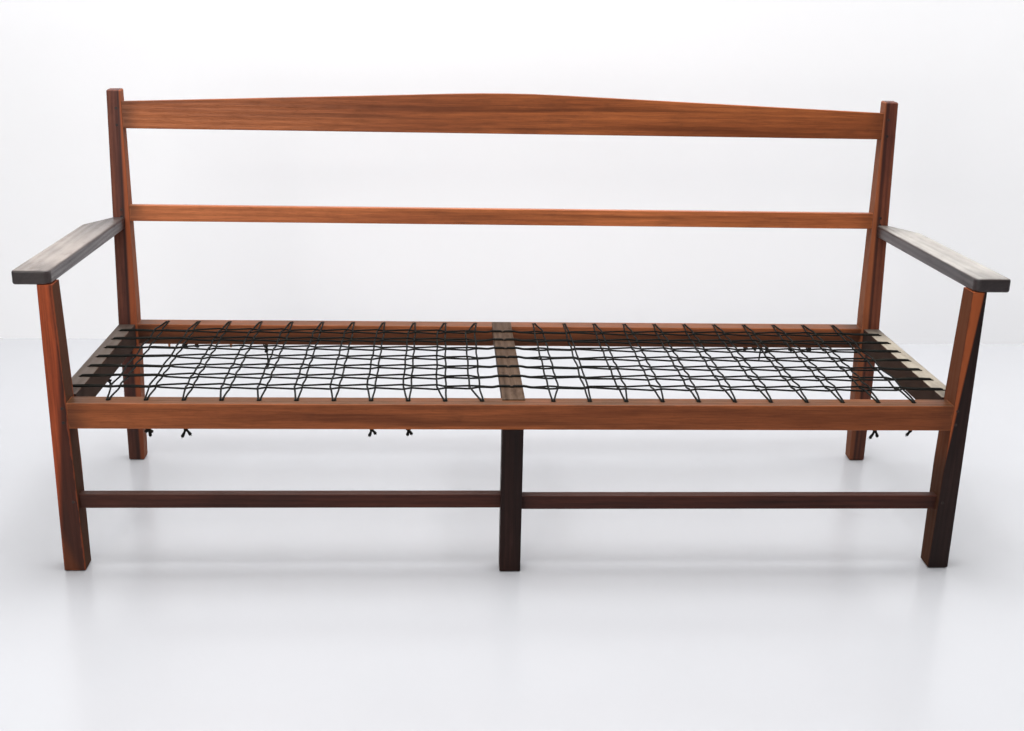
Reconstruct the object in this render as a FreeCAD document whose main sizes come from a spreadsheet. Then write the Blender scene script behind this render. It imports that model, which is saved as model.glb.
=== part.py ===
"""Pegged hardwood daybed with a laced cord seat.

Frame: millimetres, +X along the daybed, -Y towards its front, +Z up, origin on the floor under the middle.
Every piece is drawn from the sizes in the spreadsheet; a mortise is cut with the tenon that fills it.
"""
import FreeCAD, Part
import math
import os

import Sketcher

Vector = FreeCAD.Vector
LEFT = -1
RIGHT = 1
SIDE_NAMES = {LEFT: "left", RIGHT: "right"}

SIZES = {
    # the frame in plan; the front plane holds the front faces of the legs and the front seat rail
    "frame_length": 1900.0,
    "front_plane": -339.0,
    "post_plane": 262.0,
    # heights of the seat rails' tops and of the arms' underside above the front plane
    "seat_front": 378.0,
    "seat_rear": 360.5,
    "arm_front": 625.0,
    # front legs: width narrows towards the arm, depth swells at the seat
    "leg_foot_width": 45.0,
    "leg_head_width": 29.5,
    "leg_foot_depth": 46.0,
    "leg_seat_depth": 60.0,
    "leg_head_depth": 52.0,
    "leg_swell_low": 230.0,
    "leg_swell_high": 392.0,
    # rear posts: straight to the knee at the rear seat rail, then raked
    "post_foot_width": 39.0,
    "post_seat_width": 45.0,
    "post_head_width": 32.5,
    "post_foot_depth": 38.0,
    "post_seat_depth": 43.5,
    "post_back_knee": 345.0,
    "post_head_depth": 34.2,
    "post_height": 922.0,
    "post_flat_low": 290.0,
    "post_flat_high": 400.0,
    "back_rake": 5.37,
    # seat rails
    "rail_depth": 42.0,
    "front_rail_height": 55.0,
    "rear_rail_height": 51.0,
    "rear_rail_inset": 2.0,
    "side_rail_width": 40.0,
    "side_rail_height": 55.0,
    # stretchers and the middle leg
    "stretcher_height": 31.0,
    "stretcher_depth": 22.0,
    "stretcher_inset": 13.0,
    "stretcher_left_low": 140.0,
    "stretcher_right_low": 136.5,
    "middle_leg_centre": -10.0,
    "middle_leg_width": 45.0,
    "middle_leg_depth": 42.0,
    "middle_leg_splay": 10.0,
    # centre board, let into the seat rails and standing a little above them
    "board_centre": -8.0,
    "board_width": 48.0,
    "board_thickness": 20.0,
    "board_proud": 3.0,
    "board_front": 27.0,
    "board_rear": 637.0,
    # back: heights measured up the raked posts from the knee
    "crest_low": 474.6,
    "crest_end": 537.9,
    "crest_peak": 570.0,
    "crest_round": 3400.0,
    "crest_depth": 26.0,
    "crest_inset": 3.0,
    "back_rail_low": 254.1,
    "back_rail_high": 292.8,
    "back_rail_depth": 24.0,
    "back_rail_inset": 4.0,
    # arms
    "arm_inner": 923.0,
    "arm_width": 74.0,
    "arm_thickness": 29.0,
    "arm_fall": 0.05,
    "arm_clip_start": 512.0,
    # joints
    "tenon_depth": 14.0,
    "rear_tenon_depth": 12.0,
    "tenon_margin": 4.0,
    "peg_diameter": 6.5,
    # lacing holes and cord
    "cord_diameter": 4.0,
    "rail_hole": 10.8,
    "board_hole": 12.4,
    "cross_first": 74.0,
    "cross_pitch": 76.2,
    "cross_count": 11.0,
    "front_hole_inset": 23.0,
    "rear_hole_inset": 25.0,
    "long_first": 110.0,
    "long_pitch": 72.2,
    "long_count": 7.0,
    "side_hole_inset": 18.0,
    "edge_round": 2.0,
    "foot_bevel": 3.5,
    "post_top_bevel": 2.5,
    "arm_edge_round": 5.0,
    "arm_inner_corner": 14.0,
    "arm_outer_corner": 6.0,
}


class Size:
    """A length known both as a number and as the spreadsheet expression that drives it."""

    def __init__(self, value, text):
        self.value = value
        self.text = text

    def joined(self, other, sign, value):
        return Size(value, "(" + self.text + " " + sign + " " + other.text + ")")

    def __add__(self, other):
        other = size(other)
        return self.joined(other, "+", self.value + other.value)

    def __sub__(self, other):
        other = size(other)
        return self.joined(other, "-", self.value - other.value)

    def __mul__(self, other):
        other = size(other)
        return self.joined(other, "*", self.value * other.value)

    def __truediv__(self, other):
        other = size(other)
        return self.joined(other, "/", self.value / other.value)

    def __rsub__(self, other):
        return size(other) - self

    def __neg__(self):
        return size(-1) * self

    __radd__ = __add__
    __rmul__ = __mul__


def size(value):
    """A plain number as a Size; a Size stays as it is."""
    if isinstance(value, Size):
        return value
    return Size(float(value), "(%g)" % value)


def tangent(angle):
    return Size(math.tan(math.radians(angle.value)), "tan(" + angle.text + ")")


def cosine(angle):
    return Size(math.cos(math.radians(angle.value)), "cos(" + angle.text + ")")


def make_sheet(doc):
    """The spreadsheet of driving dimensions, one named cell for each entry of SIZES."""
    sheet = doc.addObject("Spreadsheet::Sheet", "Sizes")
    for row, (name, value) in enumerate(SIZES.items(), start=1):
        sheet.set("A%d" % row, name)
        sheet.set("B%d" % row, "%g" % value)
        sheet.setAlias("B%d" % row, name)
    doc.recompute()
    return {name: Size(float(sheet.get(name)), "Sizes." + name) for name in SIZES}


doc = FreeCAD.newDocument("daybed")
S = make_sheet(doc)
nodes = []

# ---------------------------------------------------------------- helpers for drawing a piece


def bind(item, target, length):
    item.setExpression(target, size(length).text)


def new_body(name, plane):
    """A body whose local y starts at one of the frame's two planes."""
    body = doc.addObject("PartDesign::Body", name)
    bind(body, "Placement.Base.y", plane)
    return body


def attach(sketch, role, offset):
    """Put a sketch on its body's own plane, offset along that plane's axis in +X, +Y or +Z."""
    body = sketch.getParentGeoFeatureGroup()
    plane = [item for item in body.Origin.OriginFeatures if item.Role == role][0]
    sketch.AttachmentSupport = (plane, [""])
    sketch.MapMode = "FlatFace"
    along = -size(offset) if role == "XZ_Plane" else size(offset)
    bind(sketch, "AttachmentOffset.Base.z", along)


def outline(body, name, role, points, offset=0.0):
    """A closed outline of straight sides; each corner is dimensioned from the origin."""
    sketch = body.newObject("Sketcher::SketchObject", name)
    attach(sketch, role, offset)
    corners = [(size(u), size(v)) for u, v in points]
    count = len(corners)
    for index, (u, v) in enumerate(corners):
        following = corners[(index + 1) % count]
        start = Vector(u.value, v.value, 0)
        end = Vector(following[0].value, following[1].value, 0)
        sketch.addGeometry(Part.LineSegment(start, end), False)
    for index in range(count):
        sketch.addConstraint(Sketcher.Constraint("Coincident", index, 2, (index + 1) % count, 1))
    for index, (u, v) in enumerate(corners):
        for kind, distance in (("DistanceX", u), ("DistanceY", v)):
            number = sketch.addConstraint(Sketcher.Constraint(kind, -1, 1, index, 1, distance.value))
            bind(sketch, "Constraints[%d]" % number, distance)
    return sketch


def pad(body, sketch, length, backwards=False):
    """Thicken an outline; outlines on the XZ plane grow towards +Y only when backwards is set."""
    feature = body.newObject("PartDesign::Pad", sketch.Name + "_pad")
    feature.Profile = sketch
    feature.Reversed = backwards
    bind(feature, "Length", length)
    doc.recompute()
    return feature


def cut_through(body, sketch):
    """Saw away everything inside the outline, both ways from its plane."""
    before = body.Shape.Volume
    feature = body.newObject("PartDesign::Pocket", sketch.Name + "_cut")
    feature.Profile = sketch
    feature.SideType = "Symmetric"
    feature.Length = 4000
    doc.recompute()
    if not feature.Shape.Volume < before - 1.0:
        raise RuntimeError(feature.Name + " removed nothing")
    return feature


def soften(body, radius, chosen):
    """Round the edges of the body's newest feature that the test picks out."""
    tip = body.Tip
    names = []
    for number, edge in enumerate(tip.Shape.Edges, start=1):
        if len(edge.Vertexes) == 2 and chosen(edge):
            names.append("Edge%d" % number)
    feature = body.newObject("PartDesign::Fillet", body.Name + "_softened")
    feature.Base = (tip, names)
    bind(feature, "Radius", radius)
    doc.recompute()
    return feature


def bevel(body, width, height):
    """Chamfer the whole rim of the body's end face at a height."""
    tip = body.Tip
    names = []
    for number, edge in enumerate(tip.Shape.Edges, start=1):
        if all(abs(vertex.Z - height.value) < 0.01 for vertex in edge.Vertexes):
            names.append("Edge%d" % number)
    feature = body.newObject("PartDesign::Chamfer", body.Name + "_bevelled")
    feature.Base = (tip, names)
    bind(feature, "Size", width)
    doc.recompute()
    return feature


def runs_along(axis, shortest=60.0):
    """A test for edges that run mostly along one axis."""

    def test(edge):
        span = edge.Vertexes[-1].Point - edge.Vertexes[0].Point
        return edge.Length > shortest and abs(span.dot(axis)) > 0.9 * span.Length

    return test


def box_points(low, high):
    (left, bottom), (right, top) = low, high
    return [(left, bottom), (right, bottom), (right, top), (left, top)]


def hole_row(body, name, first, across, along_x, pitch, count, diameter):
    """A drilled row of lacing holes along X or Y, made from one hole and a pattern."""
    sketch = body.newObject("Sketcher::SketchObject", name)
    attach(sketch, "XY_Plane", 0.0)
    first, across = size(first), size(across)
    centre = (first, across) if along_x else (across, first)
    circle = Part.Circle(Vector(centre[0].value, centre[1].value, 0), Vector(0, 0, 1), diameter.value / 2)
    sketch.addGeometry(circle, False)
    for kind, distance in (("DistanceX", centre[0]), ("DistanceY", centre[1])):
        number = sketch.addConstraint(Sketcher.Constraint(kind, -1, 1, 0, 3, distance.value))
        bind(sketch, "Constraints[%d]" % number, distance)
    number = sketch.addConstraint(Sketcher.Constraint("Diameter", 0, diameter.value))
    bind(sketch, "Constraints[%d]" % number, diameter)
    drilled = cut_through(body, sketch)
    pattern = body.newObject("PartDesign::LinearPattern", name + "_row")
    pattern.Originals = [drilled]
    pattern.Direction = (sketch, ["H_Axis" if along_x else "V_Axis"])
    bind(pattern, "Occurrences", count)
    bind(pattern, "Length", pitch * (count - 1))
    body.Tip = pattern
    doc.recompute()
    return pattern


def fused(name, parts):
    if len(parts) == 1:
        return parts[0]
    feature = doc.addObject("Part::MultiFuse", name)
    feature.Shapes = parts
    return feature


def fitted(name, blank, fillers):
    """The finished piece: its blank with a mortise or bore for each piece that goes into it."""
    if fillers:
        piece = doc.addObject("Part::Cut", name)
        piece.Base = blank
        piece.Tool = fused(name + "_fillers", fillers)
    else:
        piece = blank
    piece.Label = name
    doc.recompute()
    nodes.append(piece)
    return piece


def together(name, parts):
    """Like pieces that share one node, each still a solid of its own."""
    group = doc.addObject("Part::Compound", name)
    group.Links = parts
    group.Label = name
    doc.recompute()
    nodes.append(group)
    return group


# ---------------------------------------------------------------- lines shared by several pieces

half_length = S["frame_length"] / 2
post_offset = S["post_plane"] - S["front_plane"]
leg_taper = (S["leg_foot_width"] - S["leg_head_width"]) / S["arm_front"]
lean = tangent(S["back_rake"])
rail_low = S["seat_front"] - S["front_rail_height"]
peg_radius = S["peg_diameter"] / 2
arm_outer = S["arm_inner"] + S["arm_width"]


def leg_inner(height):
    """x of a front leg's inner face at a height."""
    return half_length - S["leg_foot_width"] + leg_taper * height


def post_inner(height):
    """x of a rear post's inner face at a height above the flat stretch at the seat."""
    share = (height - S["post_flat_high"]) / (S["post_height"] - S["post_flat_high"])
    return half_length - S["post_seat_width"] + (S["post_seat_width"] - S["post_head_width"]) * share


def seat_height(depth):
    """Height of the seat's plane at a depth behind the front plane."""
    return S["seat_front"] - (S["seat_front"] - S["seat_rear"]) * depth / post_offset


def arm_underside(depth):
    return S["arm_front"] - S["arm_fall"] * depth


def arm_back(rise):
    """Depth at which a line parallel to the arm, rise above its underside, meets the raked post."""
    reach = post_offset + lean * (S["arm_front"] + rise - S["seat_rear"])
    return reach / (1 + lean * S["arm_fall"])


# ---------------------------------------------------------------- legs and posts


def front_leg(side):
    """Front leg: straight outside, tapered inside, with a stub tenon for the arm on top."""
    body = new_body("front_leg_" + SIDE_NAMES[side] + "_blank", S["front_plane"])
    profile = [
        (0, 0),
        (S["leg_foot_depth"], 0),
        (S["leg_seat_depth"], S["leg_swell_low"]),
        (S["leg_seat_depth"], S["leg_swell_high"]),
        (S["leg_head_depth"], arm_underside(S["leg_head_depth"])),
        (0, S["arm_front"]),
    ]
    sketch = outline(body, body.Name + "_profile", "YZ_Plane", profile, side * half_length)
    pad(body, sketch, S["leg_foot_width"], backwards=side == RIGHT)
    waste = S["leg_foot_width"] + 10
    taper = [
        (side * leg_inner(0), 0),
        (side * leg_inner(S["arm_front"]), S["arm_front"]),
        (side * (half_length - waste), S["arm_front"]),
        (side * (half_length - waste), 0),
    ]
    cut_through(body, outline(body, body.Name + "_taper", "XZ_Plane", taper))
    bevel(body, S["foot_bevel"], size(0))
    soften(body, S["edge_round"], runs_along(Vector(0, 0, 1)))
    stub = box_points((side * (half_length - 24), 14), (side * (half_length - 5), 38))
    sketch = outline(body, body.Name + "_stub", "XY_Plane", stub, S["arm_front"] - 30)
    pad(body, sketch, 46)
    return body


def rear_post(side):
    """Rear post: upright to the seat, then raked; widest where the seat rails meet it."""
    body = new_body("rear_post_" + SIDE_NAMES[side] + "_blank", S["post_plane"])
    head_front = lean * (S["post_height"] - S["seat_rear"])
    profile = [
        (0, 0),
        (S["post_foot_depth"], 0),
        (S["post_seat_depth"], S["post_back_knee"]),
        (head_front + S["post_head_depth"], S["post_height"]),
        (head_front, S["post_height"]),
        (0, S["seat_rear"]),
    ]
    sketch = outline(body, body.Name + "_profile", "YZ_Plane", profile, side * half_length)
    pad(body, sketch, S["post_seat_width"], backwards=side == RIGHT)
    inner_seat = half_length - S["post_seat_width"]
    below = [
        (side * (half_length - S["post_foot_width"]), 0),
        (side * inner_seat, S["post_flat_low"]),
        (side * (inner_seat - 10), 0),
    ]
    cut_through(body, outline(body, body.Name + "_lower_taper", "XZ_Plane", below))
    above = [
        (side * inner_seat, S["post_flat_high"]),
        (side * post_inner(S["post_height"]), S["post_height"]),
        (side * (inner_seat - 10), S["post_height"]),
    ]
    cut_through(body, outline(body, body.Name + "_upper_taper", "XZ_Plane", above))
    bevel(body, S["foot_bevel"], size(0))
    bevel(body, S["post_top_bevel"], S["post_height"])
    soften(body, S["edge_round"], runs_along(Vector(0, 0, 1), 30.0))
    return body


def middle_leg():
    """Middle leg under the front rail, splayed a little forward, tenoned up into the rail."""
    body = new_body("middle_leg_blank", S["front_plane"])
    profile = [
        (-S["middle_leg_splay"], 0),
        (S["middle_leg_depth"] - S["middle_leg_splay"], 0),
        (S["middle_leg_depth"], rail_low),
        (0, rail_low),
    ]
    start = S["middle_leg_centre"] - S["middle_leg_width"] / 2
    sketch = outline(body, "middle_leg_profile", "YZ_Plane", profile, start)
    pad(body, sketch, S["middle_leg_width"])
    bevel(body, S["foot_bevel"], size(0))
    soften(body, S["edge_round"], runs_along(Vector(0, 0, 1)))
    stub = box_points((S["middle_leg_centre"] - 14, 14), (S["middle_leg_centre"] + 14, 28))
    pad(body, outline(body, "middle_leg_stub", "XY_Plane", stub, rail_low - 20), 48)
    return body


# ---------------------------------------------------------------- seat rails, stretchers and board


def long_rail(name, plane, ends, inset, depth, tenon):
    """A rail along X: ends gives (x, z) of its four corners; tenon is (inset, depth, left, right)."""
    body = new_body(name + "_blank", plane)
    sketch = outline(body, name + "_face", "XZ_Plane", ends, inset)
    pad(body, sketch, depth, backwards=True)
    soften(body, S["edge_round"], runs_along(Vector(1, 0, 0)))
    tenon_inset, tenon_depth, left, right = tenon
    low = ends[0][1] + S["tenon_margin"]
    high = ends[2][1] - S["tenon_margin"]
    bar = box_points((left, low), (right, high))
    sketch = outline(body, name + "_tenons", "XZ_Plane", bar, inset + tenon_inset)
    pad(body, sketch, tenon_depth, backwards=True)
    return body


def front_rail():
    reach = leg_inner(rail_low) + 27
    ends = [
        (-leg_inner(rail_low), rail_low),
        (leg_inner(rail_low), rail_low),
        (leg_inner(S["seat_front"]), S["seat_front"]),
        (-leg_inner(S["seat_front"]), S["seat_front"]),
    ]
    tenon = (size(14), S["tenon_depth"], -reach, reach)
    body = long_rail("front_seat_rail", S["front_plane"], ends, size(0), S["rail_depth"], tenon)
    return drilled_rail(body, S["front_hole_inset"])


def rear_rail():
    shoulder = half_length - S["post_seat_width"]
    ends = box_points(
        (-shoulder, S["seat_rear"] - S["rear_rail_height"]), (shoulder, S["seat_rear"])
    )
    tenon = (size(22), S["rear_tenon_depth"], -(shoulder + 22), shoulder + 22)
    inset = S["rear_rail_inset"]
    body = long_rail("rear_seat_rail", S["post_plane"], ends, inset, S["rail_depth"], tenon)
    return drilled_rail(body, S["rear_rail_inset"] + S["rear_hole_inset"])


def drilled_rail(body, across):
    """Two rows of lacing holes, one for each half of the seat."""
    reach = S["cross_pitch"] * (S["cross_count"] - 1)
    row = (S["cross_pitch"], S["cross_count"], S["rail_hole"])
    hole_row(body, body.Name + "_right_holes", S["cross_first"], across, True, *row)
    hole_row(body, body.Name + "_left_holes", -(S["cross_first"] + reach), across, True, *row)
    return body


def side_rail(side):
    """Side seat rail, falling from the front leg to the rear post, with its lacing holes."""
    name = "side_rail_" + SIDE_NAMES[side]
    body = new_body(name + "_blank", S["front_plane"])
    front, back = S["leg_seat_depth"], post_offset

    def slab(start, end, below, above):
        return [
            (start, seat_height(start) - below),
            (end, seat_height(end) - below),
            (end, seat_height(end) - above),
            (start, seat_height(start) - above),
        ]

    face = slab(front, back, S["side_rail_height"], size(0))
    sketch = outline(body, name + "_face", "YZ_Plane", face, side * half_length)
    pad(body, sketch, S["side_rail_width"], backwards=side == RIGHT)
    soften(body, S["edge_round"], runs_along(Vector(0, 1, 0)))
    margin = S["tenon_margin"]
    bar = slab(front - 22, back + 20, S["side_rail_height"] - margin, margin)
    sketch = outline(body, name + "_tenons", "YZ_Plane", bar, side * (half_length - 13))
    pad(body, sketch, S["tenon_depth"], backwards=side == RIGHT)
    across = side * (half_length - S["side_hole_inset"])
    row = (S["long_pitch"], S["long_count"], S["rail_hole"])
    hole_row(body, name + "_holes", S["long_first"], across, False, *row)
    return body


def stretcher(side):
    """Front stretcher between a front leg and the middle leg."""
    low = S["stretcher_" + SIDE_NAMES[side] + "_low"]
    high = low + S["stretcher_height"]
    middle = S["middle_leg_centre"] + side * S["middle_leg_width"] / 2
    ends = [
        (middle, low),
        (side * leg_inner(low), low),
        (side * leg_inner(high), high),
        (middle, high),
    ]
    tenon = (size(6), size(10), middle - side * size(16), side * (leg_inner(low) + 24))
    name = "front_stretcher_" + SIDE_NAMES[side]
    return long_rail(name, S["front_plane"], ends, S["stretcher_inset"], S["stretcher_depth"], tenon)


def centre_board():
    """Board across the middle of the seat that keeps the rails apart and takes the long cords."""
    body = new_body("centre_board_blank", S["front_plane"])
    top = S["board_proud"]
    under = S["board_proud"] - S["board_thickness"]
    front, rear = S["board_front"], S["board_rear"]
    profile = [
        (front, seat_height(front) + under),
        (rear, seat_height(rear) + under),
        (rear, seat_height(rear) + top),
        (front, seat_height(front) + top),
    ]
    start = S["board_centre"] - S["board_width"] / 2
    pad(body, outline(body, "centre_board_profile", "YZ_Plane", profile, start), S["board_width"])
    soften(body, S["edge_round"], runs_along(Vector(0, 1, 0)))
    row = (S["long_pitch"], S["long_count"], S["board_hole"])
    hole_row(body, "centre_board_holes", S["long_first"], S["board_centre"], False, *row)
    return body


# ---------------------------------------------------------------- back and arms


def back_shoulder(rise):
    """x of a post's inner face at a distance up the post from the knee."""
    return post_inner(S["seat_rear"] + rise * cosine(S["back_rake"]))


def back_member(name, low, end, inset, depth, crowned=False):
    """A rail of the raked back; its local z runs up the posts from the knee."""
    body = doc.addObject("PartDesign::Body", name + "_blank")
    body.Placement.Rotation = FreeCAD.Rotation(Vector(-1, 0, 0), S["back_rake"].value)
    bind(body, "Placement.Base.y", S["post_plane"])
    bind(body, "Placement.Base.z", S["seat_rear"])
    bind(body, "Placement.Rotation.Angle", S["back_rake"])
    if crowned:
        face = crown_outline(body, name + "_face", low, end, inset)
    else:
        corners = [(-back_shoulder(low), low), (back_shoulder(low), low)]
        corners += [(back_shoulder(end), end), (-back_shoulder(end), end)]
        face = outline(body, name + "_face", "XZ_Plane", corners, inset)
    pad(body, face, depth, backwards=True)
    soften(body, S["edge_round"], runs_along(Vector(1, 0, 0)))
    reach = back_shoulder(low) + 19
    bar = box_points((-reach, low + 3), (reach, end - S["tenon_margin"]))
    sketch = outline(body, name + "_tenons", "XZ_Plane", bar, inset + 6)
    pad(body, sketch, S["rear_tenon_depth"], backwards=True)
    return body


def crown_outline(body, name, low, end, inset):
    """The crest's face: two straight slopes that run into one long arc at the peak."""
    sketch = body.newObject("Sketcher::SketchObject", name)
    attach(sketch, "XZ_Plane", inset)
    radius = S["crest_round"]
    hub = S["crest_peak"] - radius
    wide, high = back_shoulder(end), end
    away = math.hypot(wide.value, high.value - hub.value)
    turn = math.atan2(wide.value, high.value - hub.value) - math.acos(radius.value / away)
    touch = Vector(radius.value * math.sin(turn), hub.value + radius.value * math.cos(turn), 0)
    mirror_touch = Vector(-touch.x, touch.y, 0)
    top_right = Vector(wide.value, high.value, 0)
    top_left = Vector(-wide.value, high.value, 0)
    base_right = Vector(back_shoulder(low).value, low.value, 0)
    base_left = Vector(-base_right.x, base_right.y, 0)
    middle = Vector(0, S["crest_peak"].value, 0)
    sketch.addGeometry(Part.LineSegment(base_left, base_right), False)
    sketch.addGeometry(Part.LineSegment(base_right, top_right), False)
    sketch.addGeometry(Part.LineSegment(top_right, touch), False)
    sketch.addGeometry(Part.Arc(touch, middle, mirror_touch), False)
    sketch.addGeometry(Part.LineSegment(mirror_touch, top_left), False)
    sketch.addGeometry(Part.LineSegment(top_left, base_left), False)
    for first, second in ((0, 1), (1, 2), (4, 5), (5, 0)):
        sketch.addConstraint(Sketcher.Constraint("Coincident", first, 2, second, 1))
    sketch.addConstraint(Sketcher.Constraint("Tangent", 2, 2, 3, 1))
    sketch.addConstraint(Sketcher.Constraint("Tangent", 3, 2, 4, 1))
    number = sketch.addConstraint(Sketcher.Constraint("Radius", 3, radius.value))
    bind(sketch, "Constraints[%d]" % number, radius)
    fixed = [
        (3, 3, size(0), hub),
        (0, 1, -back_shoulder(low), low),
        (1, 1, back_shoulder(low), low),
        (2, 1, wide, high),
        (5, 1, -wide, high),
    ]
    for line, point, x, y in fixed:
        for kind, distance in (("DistanceX", x), ("DistanceY", y)):
            spot = Sketcher.Constraint(kind, -1, 1, line, point, distance.value)
            number = sketch.addConstraint(spot)
            bind(sketch, "Constraints[%d]" % number, distance)
    return sketch


def armrest(side):
    """Arm: flat board falling to the rear, outer rear corner sawn off, tenoned into the post."""
    name = "armrest_" + SIDE_NAMES[side]
    body = new_body(name + "_blank", S["front_plane"])
    thick = S["arm_thickness"]

    def line(start, end, rise):
        return [(start, arm_underside(start) + rise), (end, arm_underside(end) + rise)]

    under = line(size(0), arm_back(size(0)), size(0))
    over = line(size(0), arm_back(thick), thick)
    profile = under + over[::-1]
    sketch = outline(body, name + "_profile", "YZ_Plane", profile, side * S["arm_inner"])
    pad(body, sketch, S["arm_width"], backwards=side == LEFT)
    beyond = arm_back(thick) + 20
    corner = [
        (side * arm_outer, S["arm_clip_start"]),
        (side * half_length, arm_back(size(0))),
        (side * half_length, beyond),
        (side * (arm_outer + 20), beyond),
        (side * (arm_outer + 20), S["arm_clip_start"]),
    ]
    cut_through(body, outline(body, name + "_clip", "XY_Plane", corner))

    inner, outer = side * S["arm_inner"].value, side * arm_outer.value

    def upright_at(x):
        def test(edge):
            place = edge.CenterOfMass
            return place.y < 1 and edge.Length < 32 and abs(place.x - x) < 1

        return test

    def handled(edge):
        at_front = abs(edge.CenterOfMass.y) < 0.1 and edge.Length > 32
        return at_front or runs_along(Vector(0, 1, 0), 200.0)(edge)

    soften(body, S["arm_inner_corner"], upright_at(inner))
    soften(body, S["arm_outer_corner"], upright_at(outer))
    soften(body, S["arm_edge_round"], handled)
    start, end = arm_back(size(0)) - 15, arm_back(size(0)) + 18
    low, high = line(start, end, size(8)), line(start, end, size(21))
    sketch = outline(body, name + "_tenon", "YZ_Plane", low + high[::-1], side * size(928))
    pad(body, sketch, 15, backwards=side == LEFT)
    return body


# ---------------------------------------------------------------- pegs


def peg(name, plane, centre, heading, length):
    """A dowel peg that starts at centre and runs along heading; centre y counts from the plane."""
    feature = doc.addObject("Part::Cylinder", name)
    bind(feature, "Radius", peg_radius)
    bind(feature, "Height", length)
    feature.Placement.Rotation = FreeCAD.Rotation(Vector(0, 0, 1), heading)
    bind(feature, "Placement.Base.x", centre[0])
    bind(feature, "Placement.Base.y", plane + centre[1])
    bind(feature, "Placement.Base.z", centre[2])
    return feature


def front_rail_pegs(side):
    spots = [rail_low + 13, S["seat_front"] - 11]
    name = "front_rail_peg_" + SIDE_NAMES[side]
    return [
        peg(name, S["front_plane"], (side * size(923), size(-0.6), spot), Vector(0, 1, 0), 36)
        for spot in spots
    ]


def stretcher_pegs(side):
    low = S["stretcher_" + SIDE_NAMES[side] + "_low"]
    spot = (side * size(918), size(-0.6), low + 20)
    return [peg("stretcher_peg_" + SIDE_NAMES[side], S["front_plane"], spot, Vector(0, 1, 0), 34)]


def side_rail_pegs(side, depth, name):
    """Two pegs from the outside face through a side rail's tenon."""
    spots = [seat_height(depth) - 16, seat_height(depth) - 39]
    start = side * (half_length + 0.6)
    heading = Vector(-side, 0, 0)
    return [peg(name, S["front_plane"], (start, depth, spot), heading, 32) for spot in spots]


def rear_rail_pegs(side):
    """Two pegs driven from behind through a rear rail's tenon."""
    name = "rear_rail_peg_" + SIDE_NAMES[side]
    spots = [S["seat_rear"] - 14, S["seat_rear"] - 37]
    across = side * (half_length - S["post_seat_width"] + 10)
    start = S["post_seat_depth"] + 1.2
    return [peg(name, S["post_plane"], (across, start, spot), Vector(0, -1, 0), 23) for spot in spots]


def back_pegs(side, spots, name):
    """Pegs square to the raked face of a post, one at each height up the post from the knee."""
    rake = cosine(S["back_rake"])
    angle = math.radians(S["back_rake"].value)
    heading = Vector(0, math.cos(angle), -math.sin(angle))
    pegs = []
    for rise in spots:
        height = S["seat_rear"] + rise * rake
        depth = lean * rise * rake - 0.5
        pegs.append(peg(name, S["post_plane"], (side * size(929), depth, height), heading, 26))
    return pegs


# ---------------------------------------------------------------- lacing

cord_radius = S["cord_diameter"].value / 2
CLEAR = 0.15
NEST = cord_radius + CLEAR
RIM = 5.0
SPAN_RADIUS = 300.0
# In the middle of the seat the two strands of a pair stand this far from their middle line, and the
# front-to-rear pairs are drawn outwards, away from the board.
CROSS_BOW = 9.0
LONG_BOW = 12.0
DRAWN_OUT = 4.0


def rounded_wire(route):
    """Wire of straight runs joined by tangent arcs, and the arcs' radii.

    Each route point is (position, widest arc radius); an arc takes at most 0.45 of either run.
    """
    edges = []
    radii = []
    at = route[0][0]
    for index in range(1, len(route) - 1):
        corner, radius = route[index]
        back = route[index - 1][0] - corner
        ahead = route[index + 1][0] - corner
        shorter = min(back.Length, ahead.Length)
        back.normalize()
        ahead.normalize()
        half_turn = (math.pi - back.getAngle(ahead)) / 2
        radius = min(radius, 0.45 * shorter / math.tan(half_turn))
        radii.append(radius)
        trim = radius * math.tan(half_turn)
        inward = (back + ahead).normalize()
        start, end = corner + back * trim, corner + ahead * trim
        middle = corner + inward * (radius / math.cos(half_turn) - radius)
        edges.append(Part.LineSegment(at, start).toShape())
        edges.append(Part.Arc(start, middle, end).toShape())
        at = end
    edges.append(Part.LineSegment(at, route[-1][0]).toShape())
    return Part.Wire(edges), radii


def tube(name, route, diameter):
    """Round cord along a route, checked against its section times its length."""
    path, radii = rounded_wire(route)
    start, following = route[0][0], route[1][0]
    ring = Part.Circle(start, (following - start).normalize(), diameter / 2).toShape()
    solid = path.makePipe(Part.Face(Part.Wire(ring)))
    expected = math.pi * (diameter / 2) ** 2 * path.Length
    if abs(solid.Volume - expected) > 0.01 * expected:
        raise RuntimeError("%s has a volume of %.0f, not %.0f" % (name, solid.Volume, expected))
    print("%s: length %.0f mm, arc radii %.1f to %.1f mm" % (name, path.Length, min(radii), max(radii)))
    return solid


def shaped(name, shape):
    feature = doc.addObject("Part::Feature", name)
    feature.Shape = shape
    feature.Placement = FreeCAD.Placement()
    feature.Label = name
    nodes.append(feature)
    return feature


def mirrored(points):
    return [(position, radius) for position, radius in points[::-1]]


def serpentine(crossings, start_low):
    """Join crossings end to end, every second one reversed, so that they make one cord.

    A crossing is a list of (position, radius) from under its first hole to under its last.
    """
    route = []
    for index, crossing in enumerate(crossings):
        forwards = (index % 2 == 0) == start_low
        route += crossing if forwards else mirrored(crossing)
    return route


def number(name):
    return S[name].value


def level(depth):
    """Height of the seat's plane, as a number, at a depth behind the front plane."""
    return seat_height(size(depth)).value


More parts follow.
